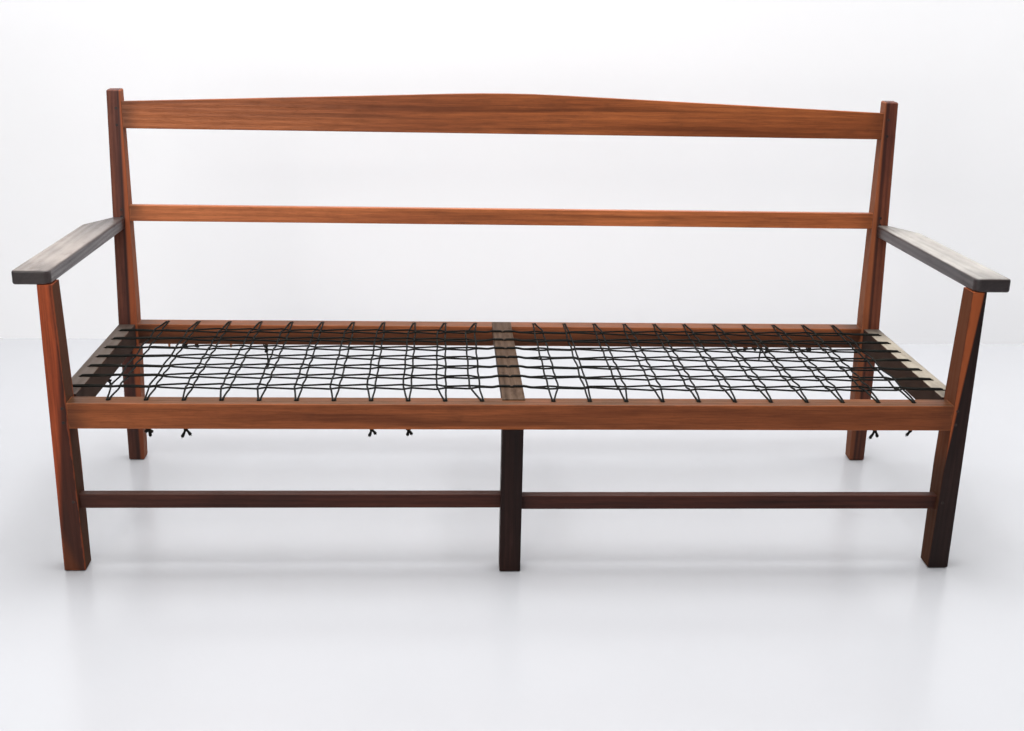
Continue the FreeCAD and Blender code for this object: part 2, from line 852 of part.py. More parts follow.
def cross_crossing(x, sign):
    """One strand from the front rail's hole over the seat to the rear rail's hole."""
    front = number("front_hole_inset") + sign * NEST
    rear = post_offset.value + number("rear_rail_inset") + number("rear_hole_inset") + sign * NEST
    front_low = rail_low.value - NEST
    rear_low = number("seat_rear") - number("rear_rail_height") - NEST
    bowed = x + math.copysign(DRAWN_OUT, x) + sign * CROSS_BOW
    lift = 3 * NEST
    first = number("long_first") - 22
    last = number("long_first") + number("long_pitch") * (number("long_count") - 1) + 22
    plane = number("front_plane")
    return [
        (Vector(x + sign * NEST, plane + front, front_low), RIM),
        (Vector(x + sign * NEST, plane + front, number("seat_front") + NEST), RIM),
        (Vector(bowed, plane + first, level(first) + lift - CLEAR), SPAN_RADIUS),
        (Vector(bowed, plane + last, level(last) + lift - CLEAR), SPAN_RADIUS),
        (Vector(x + sign * NEST, plane + rear, number("seat_rear") + NEST), RIM),
        (Vector(x + sign * NEST, plane + rear, rear_low), RIM),
    ]


def cross_cord(name, side, sign):
    """One cord of the front-to-rear lacing of a half seat; two of them share every hole."""
    crossings = []
    for index in range(int(number("cross_count"))):
        x = side * (number("cross_first") + number("cross_pitch") * index)
        crossings.append(cross_crossing(x, sign))
    return tube(name, serpentine(crossings, start_low=sign < 0), number("cord_diameter"))


def long_crossing(side, depth, sign):
    """One strand from the side rail's hole over the seat and down through the centre board."""
    outer = side * (half_length.value - number("side_hole_inset"))
    centre = number("board_centre") + side * NEST
    edge = number("board_centre") + side * (number("board_width") / 2 + 4)
    last_cross = side * (number("cross_first") + number("cross_pitch") * (number("cross_count") - 1))
    over_rail, over_board = NEST, number("board_proud") + NEST
    under_rail = -number("side_rail_height") - NEST - (2 * NEST if sign > 0 else 0)
    under_board = number("board_proud") - number("board_thickness") - NEST
    under_board -= 2 * NEST if sign > 0 else 0
    plane = number("front_plane")
    bowed = depth + sign * LONG_BOW

    def at(x, y, rise):
        return Vector(x, plane + y, level(y) + rise)

    return [
        (at(outer, depth + sign * NEST, under_rail), RIM),
        (at(outer, depth + sign * NEST, over_rail), RIM),
        (at(last_cross + side * 24, bowed, CLEAR), SPAN_RADIUS),
        (at(side * (number("cross_first") - 13), bowed, CLEAR), SPAN_RADIUS),
        (at(edge, depth + sign * (NEST + 1), over_board), SPAN_RADIUS),
        (at(centre, depth + sign * NEST, over_board), RIM),
        (at(centre, depth + sign * NEST, under_board), RIM),
    ]


def long_cord(name, side, sign):
    """One cord of the lengthways lacing of a half seat."""
    crossings = []
    for index in range(int(number("long_count"))):
        depth = number("long_first") + number("long_pitch") * index
        crossings.append(long_crossing(side, depth, sign))
    return tube(name, serpentine(crossings, start_low=sign < 0), number("cord_diameter"))


def knot(x, ends):
    """A knot under the front rail with its cut cord ends; ends are (dx, dy, length)."""
    middle = Vector(x, number("front_plane") + number("front_hole_inset"), 0)
    middle.z = rail_low.value - 2 * NEST - 4.4
    shape = Part.makeSphere(4.2, middle)
    for dx, dy, length in ends:
        heading = Vector(dx, dy, -1)
        shape = shape.fuse(Part.makeCylinder(2.3, length, middle, heading))
    return shape.removeSplitter()


def hole_x(side, index):
    return side * (number("cross_first") + number("cross_pitch") * index)


def front_knots():
    """Knots that end the cords under the front rail, where the lacing was joined."""
    short, medium, longer = 13.0, 16.0, 20.0
    return [
        knot(hole_x(LEFT, 9), [(0.25, 0.0, medium)]),
        knot(hole_x(LEFT, 8), [(-0.45, 0.1, longer), (0.75, -0.1, medium)]),
        knot(hole_x(LEFT, 3), [(-0.3, 0.1, medium), (0.8, 0.0, short)]),
        knot(hole_x(LEFT, 2), [(-0.15, 0.0, short), (0.6, 0.1, short)]),
        knot(hole_x(RIGHT, 9), [(-0.5, 0.0, longer), (0.5, 0.1, medium)]),
        knot(hole_x(RIGHT, 10), [(-0.6, 0.0, short)]),
    ]


def wedge_plug(side, index):
    """A whittled wooden plug pushed up into a rear rail hole to lock the cord."""
    depth = number("post_plane") + number("rear_rail_inset") + number("rear_hole_inset")
    low = number("seat_rear") - number("rear_rail_height") - 2 * NEST
    tip = Vector(hole_x(side, index), depth, low - 11)
    return Part.makeCone(2.2, 3.6, 11 - CLEAR, tip)


# free ends of cord that hang from knots under the rear rail: route points from the knot down
TAILS = {
    "lacing_tail_left": [(-598.0, 0.0, -4.6), (-597.0, 1.0, -20.0), (-594.0, 0.0, -36.0),
                         (-593.0, -1.5, -52.0), (-594.5, -1.0, -68.0)],
    "lacing_tail_right": [(656.0, 0.0, -4.6), (657.0, -0.8, -17.0), (655.5, -1.0, -29.5),
                          (655.0, 0.0, -42.0)],
}


def tail_route(points):
    """Tail points are x, depth from the holes' line and height from the rear rail's underside."""
    depth = number("post_plane") + number("rear_rail_inset") + number("rear_hole_inset")
    low = number("seat_rear") - number("rear_rail_height")
    return [(Vector(x, depth + y, low + z), math.inf) for x, y, z in points]


# ---------------------------------------------------------------- the assembly

legs = {side: front_leg(side) for side in (LEFT, RIGHT)}
posts = {side: rear_post(side) for side in (LEFT, RIGHT)}
rails = {"front": front_rail(), "rear": rear_rail()}
side_rails = {side: side_rail(side) for side in (LEFT, RIGHT)}
stretchers = {side: stretcher(side) for side in (LEFT, RIGHT)}
arms = {side: armrest(side) for side in (LEFT, RIGHT)}
middle = middle_leg()
board = centre_board()
crest_sizes = [S["crest_low"], S["crest_end"], S["crest_inset"], S["crest_depth"]]
crest = back_member("crest_rail", *crest_sizes, crowned=True)
back_sizes = [S["back_rail_low"], S["back_rail_high"], S["back_rail_inset"], S["back_rail_depth"]]
back = back_member("back_rail", *back_sizes)

leg_side_depth = S["leg_seat_depth"] - 11
post_side_depth = post_offset + 10
pegs = {}
for side in (LEFT, RIGHT):
    word = SIDE_NAMES[side]
    pegs[side] = {
        "front_rail": front_rail_pegs(side),
        "stretcher": stretcher_pegs(side),
        "side_front": side_rail_pegs(side, leg_side_depth, "side_rail_peg_front_" + word),
        "side_rear": side_rail_pegs(side, post_side_depth, "side_rail_peg_rear_" + word),
        "rear_rail": rear_rail_pegs(side),
        "crest": back_pegs(side, (S["crest_low"] + 8, S["crest_end"] - 16), "crest_peg_" + word),
        "back": back_pegs(
            side, (S["back_rail_low"] + 11, S["back_rail_high"] - 11), "back_peg_" + word
        ),
    }


def both(kind):
    return pegs[LEFT][kind] + pegs[RIGHT][kind]


for side in (LEFT, RIGHT):
    word, own = SIDE_NAMES[side], pegs[side]
    entering = [rails["front"], side_rails[side], stretchers[side]]
    entering += own["front_rail"] + own["stretcher"] + own["side_front"]
    fitted("front_leg_" + word, legs[side], entering)
    entering = [rails["rear"], side_rails[side], crest, back, arms[side]]
    entering += own["side_rear"] + own["rear_rail"] + own["crest"] + own["back"]
    fitted("rear_post_" + word, posts[side], entering)
    fitted("side_rail_" + word, side_rails[side], own["side_front"] + own["side_rear"])
    fitted("front_stretcher_" + word, stretchers[side], own["stretcher"])
    fitted("armrest_" + word, arms[side], [legs[side]])
fitted("middle_leg", middle, [stretchers[LEFT], stretchers[RIGHT]])
fitted("front_seat_rail", rails["front"], [middle, board] + both("front_rail"))
fitted("rear_seat_rail", rails["rear"], [board] + both("rear_rail"))
fitted("centre_board", board, [])
fitted("crest_rail", crest, both("crest"))
fitted("back_rail", back, both("back"))

together("front_rail_pegs", both("front_rail"))
together("stretcher_pegs", both("stretcher"))
together("side_rail_pegs", both("side_front") + both("side_rear"))
together("rear_rail_pegs", both("rear_rail"))
together("crest_rail_pegs", both("crest"))
together("back_rail_pegs", both("back"))

for side in (LEFT, RIGHT):
    for order, sign in (("first", -1), ("second", 1)):
        name = "cross_cord_" + SIDE_NAMES[side] + "_" + order
        shaped(name, cross_cord(name, side, sign))
        name = "long_cord_" + SIDE_NAMES[side] + "_" + order
        shaped(name, long_cord(name, side, sign))
shaped("cord_knots", Part.makeCompound(front_knots()))
shaped("cord_plugs", Part.makeCompound([wedge_plug(LEFT, 10), wedge_plug(LEFT, 8)]))
for name, points in TAILS.items():
    shaped(name, tube(name, tail_route(points), number("cord_diameter")))

doc.recompute()
for item in doc.Objects:
    if "Invalid" in item.State or "Error" in item.State:
        raise RuntimeError(item.Name + " failed: " + str(item.State))
for piece in nodes:
    if piece.Shape.isNull() or not piece.Shape.isValid() or not piece.Shape.Solids:
        raise RuntimeError(piece.Label + " has no valid solid")

os.makedirs("parts", exist_ok=True)
for piece in nodes:
    piece.Shape.exportStep("parts/" + piece.Label + ".step")
    print("%-26s %2d solids %10.0f mm3" % (piece.Label, len(piece.Shape.Solids), piece.Shape.Volume))
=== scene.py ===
"""Visual model of a pegged hardwood daybed with a laced cord seat, built around its CAD frame."""

import math

import bpy
import numpy as np
from mathutils import Matrix, Vector


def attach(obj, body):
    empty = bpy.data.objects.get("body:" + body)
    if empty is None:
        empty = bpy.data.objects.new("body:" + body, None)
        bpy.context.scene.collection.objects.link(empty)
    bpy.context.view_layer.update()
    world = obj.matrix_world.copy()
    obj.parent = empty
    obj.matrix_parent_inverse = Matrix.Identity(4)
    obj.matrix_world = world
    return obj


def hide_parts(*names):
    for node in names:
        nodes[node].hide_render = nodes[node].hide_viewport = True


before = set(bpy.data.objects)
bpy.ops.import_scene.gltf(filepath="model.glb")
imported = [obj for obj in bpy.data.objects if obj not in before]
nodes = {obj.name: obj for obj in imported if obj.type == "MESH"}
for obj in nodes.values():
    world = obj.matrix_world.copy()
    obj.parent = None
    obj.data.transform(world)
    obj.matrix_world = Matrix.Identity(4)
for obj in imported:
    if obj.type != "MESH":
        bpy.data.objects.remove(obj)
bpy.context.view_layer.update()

# ---------------------------------------------------------------- room, light and camera
# A white painted floor and wall in soft daylight: a wide soft light overhead, a wash down the
# wall, and two weaker lights from the right and from the left of the camera.
# The camera stands a little left of the middle, at standing height, and looks down at the seat.

FLOOR_TONE = (0.49, 0.495, 0.515, 1.0)
WALL_TONE = (0.93, 0.93, 0.94, 1.0)
WALL_DEPTH = 1.27


def make_node(tree, kind, inputs=None, **settings):
    """Add one shader node; inputs maps a socket's name or number to a value or to another socket."""
    made = tree.nodes.new(kind)
    for name, value in settings.items():
        setattr(made, name, value)
    for key, value in (inputs or {}).items():
        if isinstance(value, bpy.types.NodeSocket):
            tree.links.new(value, made.inputs[key])
        else:
            made.inputs[key].default_value = value
    return made


def new_material(name):
    """An empty node material with its Principled shader already joined to the output."""
    material = bpy.data.materials.new(name)
    material.use_nodes = True
    tree = material.node_tree
    tree.nodes.clear()
    shader = make_node(tree, "ShaderNodeBsdfPrincipled")
    make_node(tree, "ShaderNodeOutputMaterial", {"Surface": shader.outputs["BSDF"]})
    return material, tree, shader


def painted(name, tone, roughness, scale):
    """Room paint: one tone with slow uneven patches, by noise in object coordinates. It is clear
    from the back, so that the room hides nothing from a viewer outside it."""
    material, tree, shader = new_material(name)
    place = make_node(tree, "ShaderNodeTexCoord").outputs["Object"]
    patches = make_node(tree, "ShaderNodeTexNoise", {"Vector": place, "Scale": scale, "Detail": 5.0})
    darker = tuple(0.94 * part for part in tone[:3]) + (1.0,)
    tint = make_node(
        tree, "ShaderNodeMix", {0: patches.outputs["Fac"], 6: darker, 7: tone}, data_type="RGBA"
    )
    tree.links.new(tint.outputs[2], shader.inputs["Base Color"])
    shader.inputs["Roughness"].default_value = roughness
    behind = make_node(tree, "ShaderNodeNewGeometry").outputs["Backfacing"]
    seen = make_node(tree, "ShaderNodeMath", {0: 1.0, 1: behind}, operation="SUBTRACT")
    tree.links.new(seen.outputs[0], shader.inputs["Alpha"])
    return material


def sheet_of_room(name, corners, material):
    """One flat rectangle of the room."""
    mesh = bpy.data.meshes.new(name)
    mesh.from_pydata(corners, [], [(0, 1, 2, 3)])
    mesh.materials.append(material)
    surface = bpy.data.objects.new(name, mesh)
    bpy.context.scene.collection.objects.link(surface)


sheet_of_room(
    "floor",
    [(-9, -7, 0), (9, -7, 0), (9, 7, 0), (-9, 7, 0)],
    painted("floor_paint", FLOOR_TONE, 0.22, 2.5),
)
sheet_of_room(
    "wall",
    [(-9, WALL_DEPTH, 0), (9, WALL_DEPTH, 0), (9, WALL_DEPTH, 5), (-9, WALL_DEPTH, 5)],
    painted("wall_paint", WALL_TONE, 0.7, 1.2),
)


def soft_light(name, place, target, size, power, tone):
    """A square area light aimed from place at target."""
    lamp = bpy.data.lights.new(name, "AREA")
    lamp.size = size
    lamp.energy = power
    lamp.color = tone
    holder = bpy.data.objects.new(name, lamp)
    holder.location = place
    holder.rotation_euler = (Vector(target) - Vector(place)).to_track_quat("-Z", "Y").to_euler()
    bpy.context.scene.collection.objects.link(holder)


soft_light("window_right", (3.4, 0.9, 1.7), (1.2, 0.1, 0.1), 1.8, 44.0, (1.0, 0.98, 0.95))
soft_light("ceiling", (-0.4, 0.1, 3.4), (0.0, 0.0, 0.0), 3.0, 66.0, (0.98, 0.98, 1.0))
soft_light("fill_left", (-1.4, -3.2, 1.5), (-1.2, 0.0, 0.6), 1.4, 44.0, (1.0, 0.97, 0.92))
soft_light("wall_wash", (0.0, 0.45, 4.6), (0.0, WALL_DEPTH, 0.9), 3.6, 265.0, (1.0, 1.0, 1.0))

world = bpy.data.worlds.new("daylight")
bpy.context.scene.world = world
world.use_nodes = True
world.node_tree.nodes["Background"].inputs["Color"].default_value = (0.94, 0.96, 1.0, 1.0)
world.node_tree.nodes["Background"].inputs["Strength"].default_value = 0.22
bpy.context.scene.view_settings.view_transform = "Standard"

CAMERA_PLACE = (-0.16039, -2.84734, 1.31869)
CAMERA_TURN = math.radians(-3.316)
CAMERA_TILT = math.radians(90.0 - 18.793)
CAMERA_ROLL = math.radians(1.355)
camera = bpy.data.objects.new("camera", bpy.data.cameras.new("camera"))
camera.data.sensor_width = 36.0
camera.data.lens = 45.88
camera.matrix_world = (
    Matrix.Translation(CAMERA_PLACE)
    @ Matrix.Rotation(CAMERA_TURN, 4, "Z")
    @ Matrix.Rotation(CAMERA_TILT, 4, "X")
    @ Matrix.Rotation(CAMERA_ROLL, 4, "Z")
)
bpy.context.scene.collection.objects.link(camera)
bpy.context.scene.camera = camera

# ---------------------------------------------------------------- front legs
# Two square hardwood legs, straight outside and tapered inside, sawn and oiled long ago.
# Each takes the front rail, a side rail and a stretcher, and holds the arm on a stub tenon.

FRONT_PLANE = -0.339
EARTH = (0.018, 0.009, 0.007)
CORD_STAIN_AND_SHADOW = (0.012, 0.008, 0.006)


def math_node(tree, operation, first, second=0.0, third=0.0, clamp=False):
    """The outcome of one Math operation on sockets or numbers."""
    values = {0: first, 1: second, 2: third}
    made = make_node(tree, "ShaderNodeMath", values, operation=operation, use_clamp=clamp)
    return made.outputs[0]


def vector_node(tree, operation, first, second=(0.0, 0.0, 0.0)):
    """The outcome of one Vector Math operation, part by part."""
    made = make_node(tree, "ShaderNodeVectorMath", {0: first, 1: second}, operation=operation)
    return made.outputs[0]


def blend_tones(tree, share, first, second, style="MIX"):
    """The first colour turned towards the second by share."""
    made = make_node(
        tree, "ShaderNodeMix", {0: share, 6: first, 7: second}, data_type="RGBA", blend_type=style
    )
    return made.outputs[2]


def ramp(tree, value, low, high, bottom=0.0, top=1.0):
    """Smooth step from bottom to top as value goes from low to high."""
    made = make_node(
        tree,
        "ShaderNodeMapRange",
        {"Value": value, "From Min": low, "From Max": high, "To Min": bottom, "To Max": top},
        interpolation_type="SMOOTHSTEP",
    )
    return made.outputs["Result"]


def new_group(name, inputs, outputs):
    """A shader node group; inputs and outputs are (name, kind, default) rows."""
    group = bpy.data.node_groups.new(name, "ShaderNodeTree")
    for label, kind, default in inputs:
        socket = group.interface.new_socket(label, in_out="INPUT", socket_type="NodeSocket" + kind)
        if default is not None:
            socket.default_value = default
    for label, kind in outputs:
        group.interface.new_socket(label, in_out="OUTPUT", socket_type="NodeSocket" + kind)
    entry = group.nodes.new("NodeGroupInput").outputs
    leave = group.nodes.new("NodeGroupOutput").inputs
    return group, entry, leave


def stretched_noise(tree, place, stretch, seed, detail=4.0, roughness=0.55, distortion=0.0):
    """Noise whose cells are drawn out along the grain: the place is scaled part by part."""
    scaled = vector_node(tree, "MULTIPLY", place, stretch)
    made = make_node(
        tree,
        "ShaderNodeTexNoise",
        {
            "Vector": scaled,
            "W": seed,
            "Scale": 1.0,
            "Detail": detail,
            "Roughness": roughness,
            "Distortion": distortion,
        },
        noise_dimensions="4D",
    )
    return made.outputs["Fac"]


def make_timber_group():
    """Sawn timber. Growth rings are a sine of the warped distance from a pith line along X; broad
    figure, dark streaks, fibres and pores are noises drawn out along X by falling amounts."""
    tree, entry, leave = new_group(
        "timber",
        [
            ("Place", "Vector", None),
            ("Pith", "Vector", (0.0, 0.05, 0.03)),
            ("Ring Width", "Float", 0.007),
            ("Ring Depth", "Float", 0.5),
            ("Streaks", "Float", 0.5),
            ("Seed", "Float", 0.0),
            ("Dark", "Color", (0.05, 0.02, 0.01, 1.0)),
            ("Middle", "Color", (0.2, 0.08, 0.04, 1.0)),
            ("Light", "Color", (0.4, 0.16, 0.08, 1.0)),
        ],
        [("Color", "Color"), ("Height", "Float"), ("Figure", "Float")],
    )
    place, seed = entry["Place"], entry["Seed"]
    warp = stretched_noise(tree, place, (0.7, 5.0, 5.0), seed, 2.0)
    flat = vector_node(tree, "MULTIPLY", vector_node(tree, "SUBTRACT", place, entry["Pith"]), (0, 1, 1))
    distance = make_node(tree, "ShaderNodeVectorMath", {0: flat}, operation="LENGTH").outputs["Value"]
    warped = math_node(tree, "MULTIPLY_ADD", warp, 0.05, distance)
    turns = math_node(tree, "DIVIDE", warped, entry["Ring Width"])
    wave = math_node(tree, "SINE", math_node(tree, "MULTIPLY", turns, 2.0 * math.pi))
    rings = ramp(tree, wave, -0.9, 1.0)
    figure = stretched_noise(tree, place, (1.6, 16.0, 16.0), math_node(tree, "ADD", seed, 3.1), 4.0)
    broad = ramp(tree, figure, 0.36, 0.66)
    streak = stretched_noise(tree, place, (1.0, 42.0, 42.0), math_node(tree, "ADD", seed, 7.7), 3.0)
    dark_streak = math_node(tree, "MULTIPLY", ramp(tree, streak, 0.54, 0.70), entry["Streaks"])
    fibre = stretched_noise(tree, place, (14.0, 420.0, 420.0), seed, 3.0, 0.65)
    pores = stretched_noise(tree, place, (70.0, 1500.0, 1500.0), seed, 1.0)
    pore_mask = ramp(tree, pores, 0.60, 0.72)
    body = blend_tones(tree, broad, entry["Middle"], entry["Light"])
    ringed = blend_tones(
        tree, math_node(tree, "MULTIPLY", rings, entry["Ring Depth"]), body, entry["Dark"]
    )
    streaked = blend_tones(tree, dark_streak, ringed, entry["Dark"])
    shade = ramp(tree, fibre, 0.25, 0.75, 0.72, 1.18)
    grey = make_node(tree, "ShaderNodeCombineColor", {0: shade, 1: shade, 2: shade}).outputs[0]
    fibred = blend_tones(tree, 1.0, streaked, grey, "MULTIPLY")
    porous = blend_tones(tree, math_node(tree, "MULTIPLY", pore_mask, 0.45), fibred, entry["Dark"])
    tree.links.new(porous, leave["Color"])
    raised = math_node(tree, "MULTIPLY_ADD", rings, -0.25, math_node(tree, "MULTIPLY", fibre, 0.5))
    tree.links.new(math_node(tree, "MULTIPLY_ADD", pore_mask, -0.5, raised), leave["Height"])
    tree.links.new(broad, leave["Figure"])
    return tree


def make_edge_group():
    """Worn arrises of a long straight piece. With the place taken from the piece's middle line, the
    middle one of its three distances to the sides is its distance to the nearest edge."""
    tree, entry, leave = new_group(
        "worn edges",
        [
            ("Place", "Vector", None),
            ("Half Size", "Vector", (0.5, 0.02, 0.02)),
            ("Reach", "Float", 0.004),
            ("Seed", "Float", 0.0),
        ],
        [("Worn", "Float"), ("Grimy", "Float")],
    )
    from_middle = make_node(tree, "ShaderNodeVectorMath", {0: entry["Place"]}, operation="ABSOLUTE")
    gaps = vector_node(tree, "SUBTRACT", entry["Half Size"], from_middle.outputs[0])
    sides = make_node(
        tree, "ShaderNodeSeparateXYZ", {0: vector_node(tree, "ABSOLUTE", gaps)}
    ).outputs
    lower = math_node(tree, "MINIMUM", sides[0], sides[1])
    upper = math_node(tree, "MAXIMUM", sides[0], sides[1])
    edge = math_node(tree, "MAXIMUM", lower, math_node(tree, "MINIMUM", upper, sides[2]))
    patches = stretched_noise(tree, entry["Place"], (22.0, 60.0, 60.0), entry["Seed"], 4.0, 0.6)
    reach = math_node(tree, "MULTIPLY", entry["Reach"], ramp(tree, patches, 0.35, 0.72, 0.25, 1.8))
    near = math_node(tree, "DIVIDE", edge, reach)
    tree.links.new(ramp(tree, near, 0.15, 1.0, 1.0, 0.0), leave["Worn"])
    grime = stretched_noise(tree, entry["Place"], (9.0, 24.0, 24.0), entry["Seed"], 5.0, 0.7)
    tree.links.new(ramp(tree, grime, 0.50, 0.74), leave["Grimy"])
    return tree


timber_group = make_timber_group()
edge_group = make_edge_group()
ORDERS = {"X": (0, 1, 2), "Y": (1, 0, 2), "Z": (2, 0, 1)}


def distance_to_hole(tree, run, across, first, pitch, count, row, mirrored):
    """Distance to the nearest of a row of holes. The holes stand a pitch apart along the grain,
    from first, so the nearest one's number is the rounded place in pitches, kept within count;
    mirrored rows go out from the middle both ways."""
    reached = math_node(tree, "ABSOLUTE", run) if mirrored else run
    past = math_node(tree, "SUBTRACT", reached, first)
    number = math_node(tree, "ROUND", math_node(tree, "DIVIDE", past, pitch))
    number = math_node(tree, "MINIMUM", math_node(tree, "MAXIMUM", number), count - 1)
    off_along = math_node(tree, "SUBTRACT", past, math_node(tree, "MULTIPLY", number, pitch))
    off_across = math_node(tree, "SUBTRACT", across, row)
    gap = make_node(tree, "ShaderNodeCombineXYZ", {0: off_along, 1: off_across}).outputs[0]
    away = make_node(tree, "ShaderNodeVectorMath", {0: gap}, operation="LENGTH")
    return away.outputs["Value"]


def wood(name, along, middle, half, tones, seed, **extra):
    """Oiled or worn timber for one piece.

    along is the row axis that the grain follows; middle and half are the middle and half size of
    the piece in row axes; tones are its dark, middle and light colours. Extras: drift is how far
    the middle line wanders, and taper how much the half size grows, for each metre along the
    grain, as (first, second) cross axes; knee is a height above which drift starts; strips are
    (tone, low, high, slope, strength) bands across the first cross axis, slanted by slope;
    sheltered is the (tone, X direction, strength) of the faces that turn that way, which are also
    made rougher, and on the front legs and side rails that tone is painted shade; top is the (tone,
    strength, bright end, dull end) of upward faces; foot is a (tone, low, high, strength) band that
    darkens the piece below a height, towards the floor on the legs and posts, and on the rear rail
    as a painted shadow of the lacing; joints is the (reach, strength) of the dirt at both ends;
    holes is the (first, pitch, count, row, mirrored) of the cord holes, and rim how far from them
    the wood is darkened, by cord stain and by a painted shadow of the cords; reach is how wide the
    worn edges are; grime, worn, roughness and gloss are plain strengths.
    """
    material, tree, shader = new_material(name)
    place = make_node(tree, "ShaderNodeTexCoord").outputs["Object"]
    centred = vector_node(tree, "SUBTRACT", place, tuple(middle))
    parts = make_node(tree, "ShaderNodeSeparateXYZ", {0: centred}).outputs
    run, across, up = (parts[axis] for axis in ORDERS[along])
    bent = run
    if "knee" in extra:
        bent = math_node(tree, "MAXIMUM", math_node(tree, "SUBTRACT", run, extra["knee"]), 0.0)
    drift = extra.get("drift", (0.0, 0.0))
    taper = extra.get("taper", (0.0, 0.0))
    across = math_node(tree, "SUBTRACT", across, math_node(tree, "MULTIPLY", bent, drift[0]))
    up = math_node(tree, "SUBTRACT", up, math_node(tree, "MULTIPLY", bent, drift[1]))
    own = make_node(tree, "ShaderNodeCombineXYZ", {0: run, 1: across, 2: up}).outputs[0]
    sizes = [half[axis] for axis in ORDERS[along]]
    growth = [math_node(tree, "MULTIPLY_ADD", run, taper[i], sizes[i + 1]) for i in (0, 1)]
    half_size = make_node(
        tree, "ShaderNodeCombineXYZ", {0: sizes[0], 1: growth[0], 2: growth[1]}
    ).outputs[0]
    dark, mid, light = tones
    grain = make_node(tree, "ShaderNodeGroup", node_tree=timber_group)
    for key, value in {
        "Pith": extra.get("pith", (0.0, 0.035, -0.05)),
        "Ring Width": extra.get("ring_width", 0.009),
        "Ring Depth": extra.get("ring_depth", 0.22),
        "Streaks": 0.6,
        "Seed": seed,
        "Dark": dark + (1.0,),
        "Middle": mid + (1.0,),
        "Light": light + (1.0,),
    }.items():
        grain.inputs[key].default_value = value
    tree.links.new(own, grain.inputs["Place"])
    edges = make_node(tree, "ShaderNodeGroup", node_tree=edge_group)
    tree.links.new(own, edges.inputs["Place"])
    tree.links.new(half_size, edges.inputs["Half Size"])
    edges.inputs["Seed"].default_value = seed
    edges.inputs["Reach"].default_value = extra.get("reach", 0.004)

    colour = grain.outputs["Color"]
    for tone, low, high, slope, strength in extra.get("strips", []):
        slanted = math_node(tree, "SUBTRACT", across, math_node(tree, "MULTIPLY", run, slope))
        mask = ramp(tree, slanted, low, high, 0.0, strength)
        patchy = ramp(tree, grain.outputs["Figure"], 0.0, 0.9, 0.85, 1.0)
        colour = blend_tones(tree, math_node(tree, "MULTIPLY", mask, patchy), colour, tone + (1.0,))
    # Darker round the holes: cord stain, and a painted shadow of the cords where they go in.
    if "holes" in extra:
        away = distance_to_hole(tree, run, across, *extra["holes"])
        rim = ramp(tree, away, 0.0042, extra.get("rim", 0.0085), 0.90, 0.0)
        colour = blend_tones(tree, rim, colour, CORD_STAIN_AND_SHADOW + (1.0,))
    if "foot" in extra:
        tone, low, high, strength = extra["foot"]
        height = make_node(tree, "ShaderNodeSeparateXYZ", {0: place}).outputs[2]
        colour = blend_tones(tree, ramp(tree, height, low, high, strength, 0.0), colour, tone + (1.0,))
    facing = make_node(tree, "ShaderNodeNewGeometry").outputs["Normal"]
    facing_parts = make_node(tree, "ShaderNodeSeparateXYZ", {0: facing}).outputs
    roughness = extra.get("roughness", 0.42)
    # Faces turned the given way along X take another tone and are made rougher; on the front legs and
    # side rails that tone is painted shade.
    if "sheltered" in extra:
        tone, direction, strength = extra["sheltered"]
        inwards = math_node(tree, "MULTIPLY", facing_parts[0], direction)
        dull = ramp(tree, inwards, 0.4, 0.9, 0.0, strength)
        colour = blend_tones(tree, dull, colour, tone + (1.0,))
        roughness = math_node(tree, "MULTIPLY_ADD", dull, 0.6, roughness)
    # Upward faces take another tone in patches: worn and dusty wood, and on the right side rail also a
    # painted highlight of glare.
    if "top" in extra:
        tone, strength, bright_end, dull_end = extra["top"]
        rubbed = stretched_noise(tree, own, (7.0, 40.0, 40.0), seed, 5.0, 0.6)
        upward = ramp(tree, facing_parts[2], 0.55, 0.95, 0.0, strength)
        cover = math_node(tree, "MULTIPLY", upward, ramp(tree, rubbed, 0.25, 0.65, 0.55, 1.0))
        faded = math_node(tree, "MULTIPLY", cover, ramp(tree, run, bright_end, dull_end, 1.0, 0.3))
        colour = blend_tones(tree, faded, colour, tone + (1.0,))
    if "joints" in extra:
        reach, strength = extra["joints"]
        at_ends = math_node(tree, "ABSOLUTE", run)
        soiled = ramp(tree, at_ends, sizes[0] - reach, sizes[0], 0.0, strength)
        patchy = ramp(tree, grain.outputs["Figure"], 0.0, 1.0, 0.5, 1.0)
        soiled = math_node(tree, "MULTIPLY", soiled, patchy)
        colour = blend_tones(tree, soiled, colour, EARTH + (1.0,))
    grimy = math_node(tree, "MULTIPLY", edges.outputs["Grimy"], extra.get("grime", 0.25))
    colour = blend_tones(tree, grimy, colour, EARTH + (1.0,))
    worn = math_node(tree, "MULTIPLY", edges.outputs["Worn"], extra.get("worn", 0.35))
    colour = blend_tones(tree, worn, colour, light + (1.0,))
    tree.links.new(colour, shader.inputs["Base Color"])
    roughness = math_node(tree, "MULTIPLY_ADD", grimy, 0.5, roughness)
    uneven = ramp(tree, grain.outputs["Height"], -0.2, 0.4, 0.10, -0.06)
    roughness = math_node(tree, "ADD", roughness, uneven, clamp=True)
    tree.links.new(roughness, shader.inputs["Roughness"])
    shader.inputs["Specular IOR Level"].default_value = extra.get("gloss", 0.3)
    bump = make_node(
        tree,
        "ShaderNodeBump",
        {"Height": grain.outputs["Height"], "Strength": 0.5, "Distance": 0.0004},
    )
    tree.links.new(bump.outputs["Normal"], shader.inputs["Normal"])
    return material


def finish(node_name, material):
    """Give a CAD piece its material in every slot."""
    mesh = nodes[node_name].data
    mesh.materials.clear()
    mesh.materials.append(material)


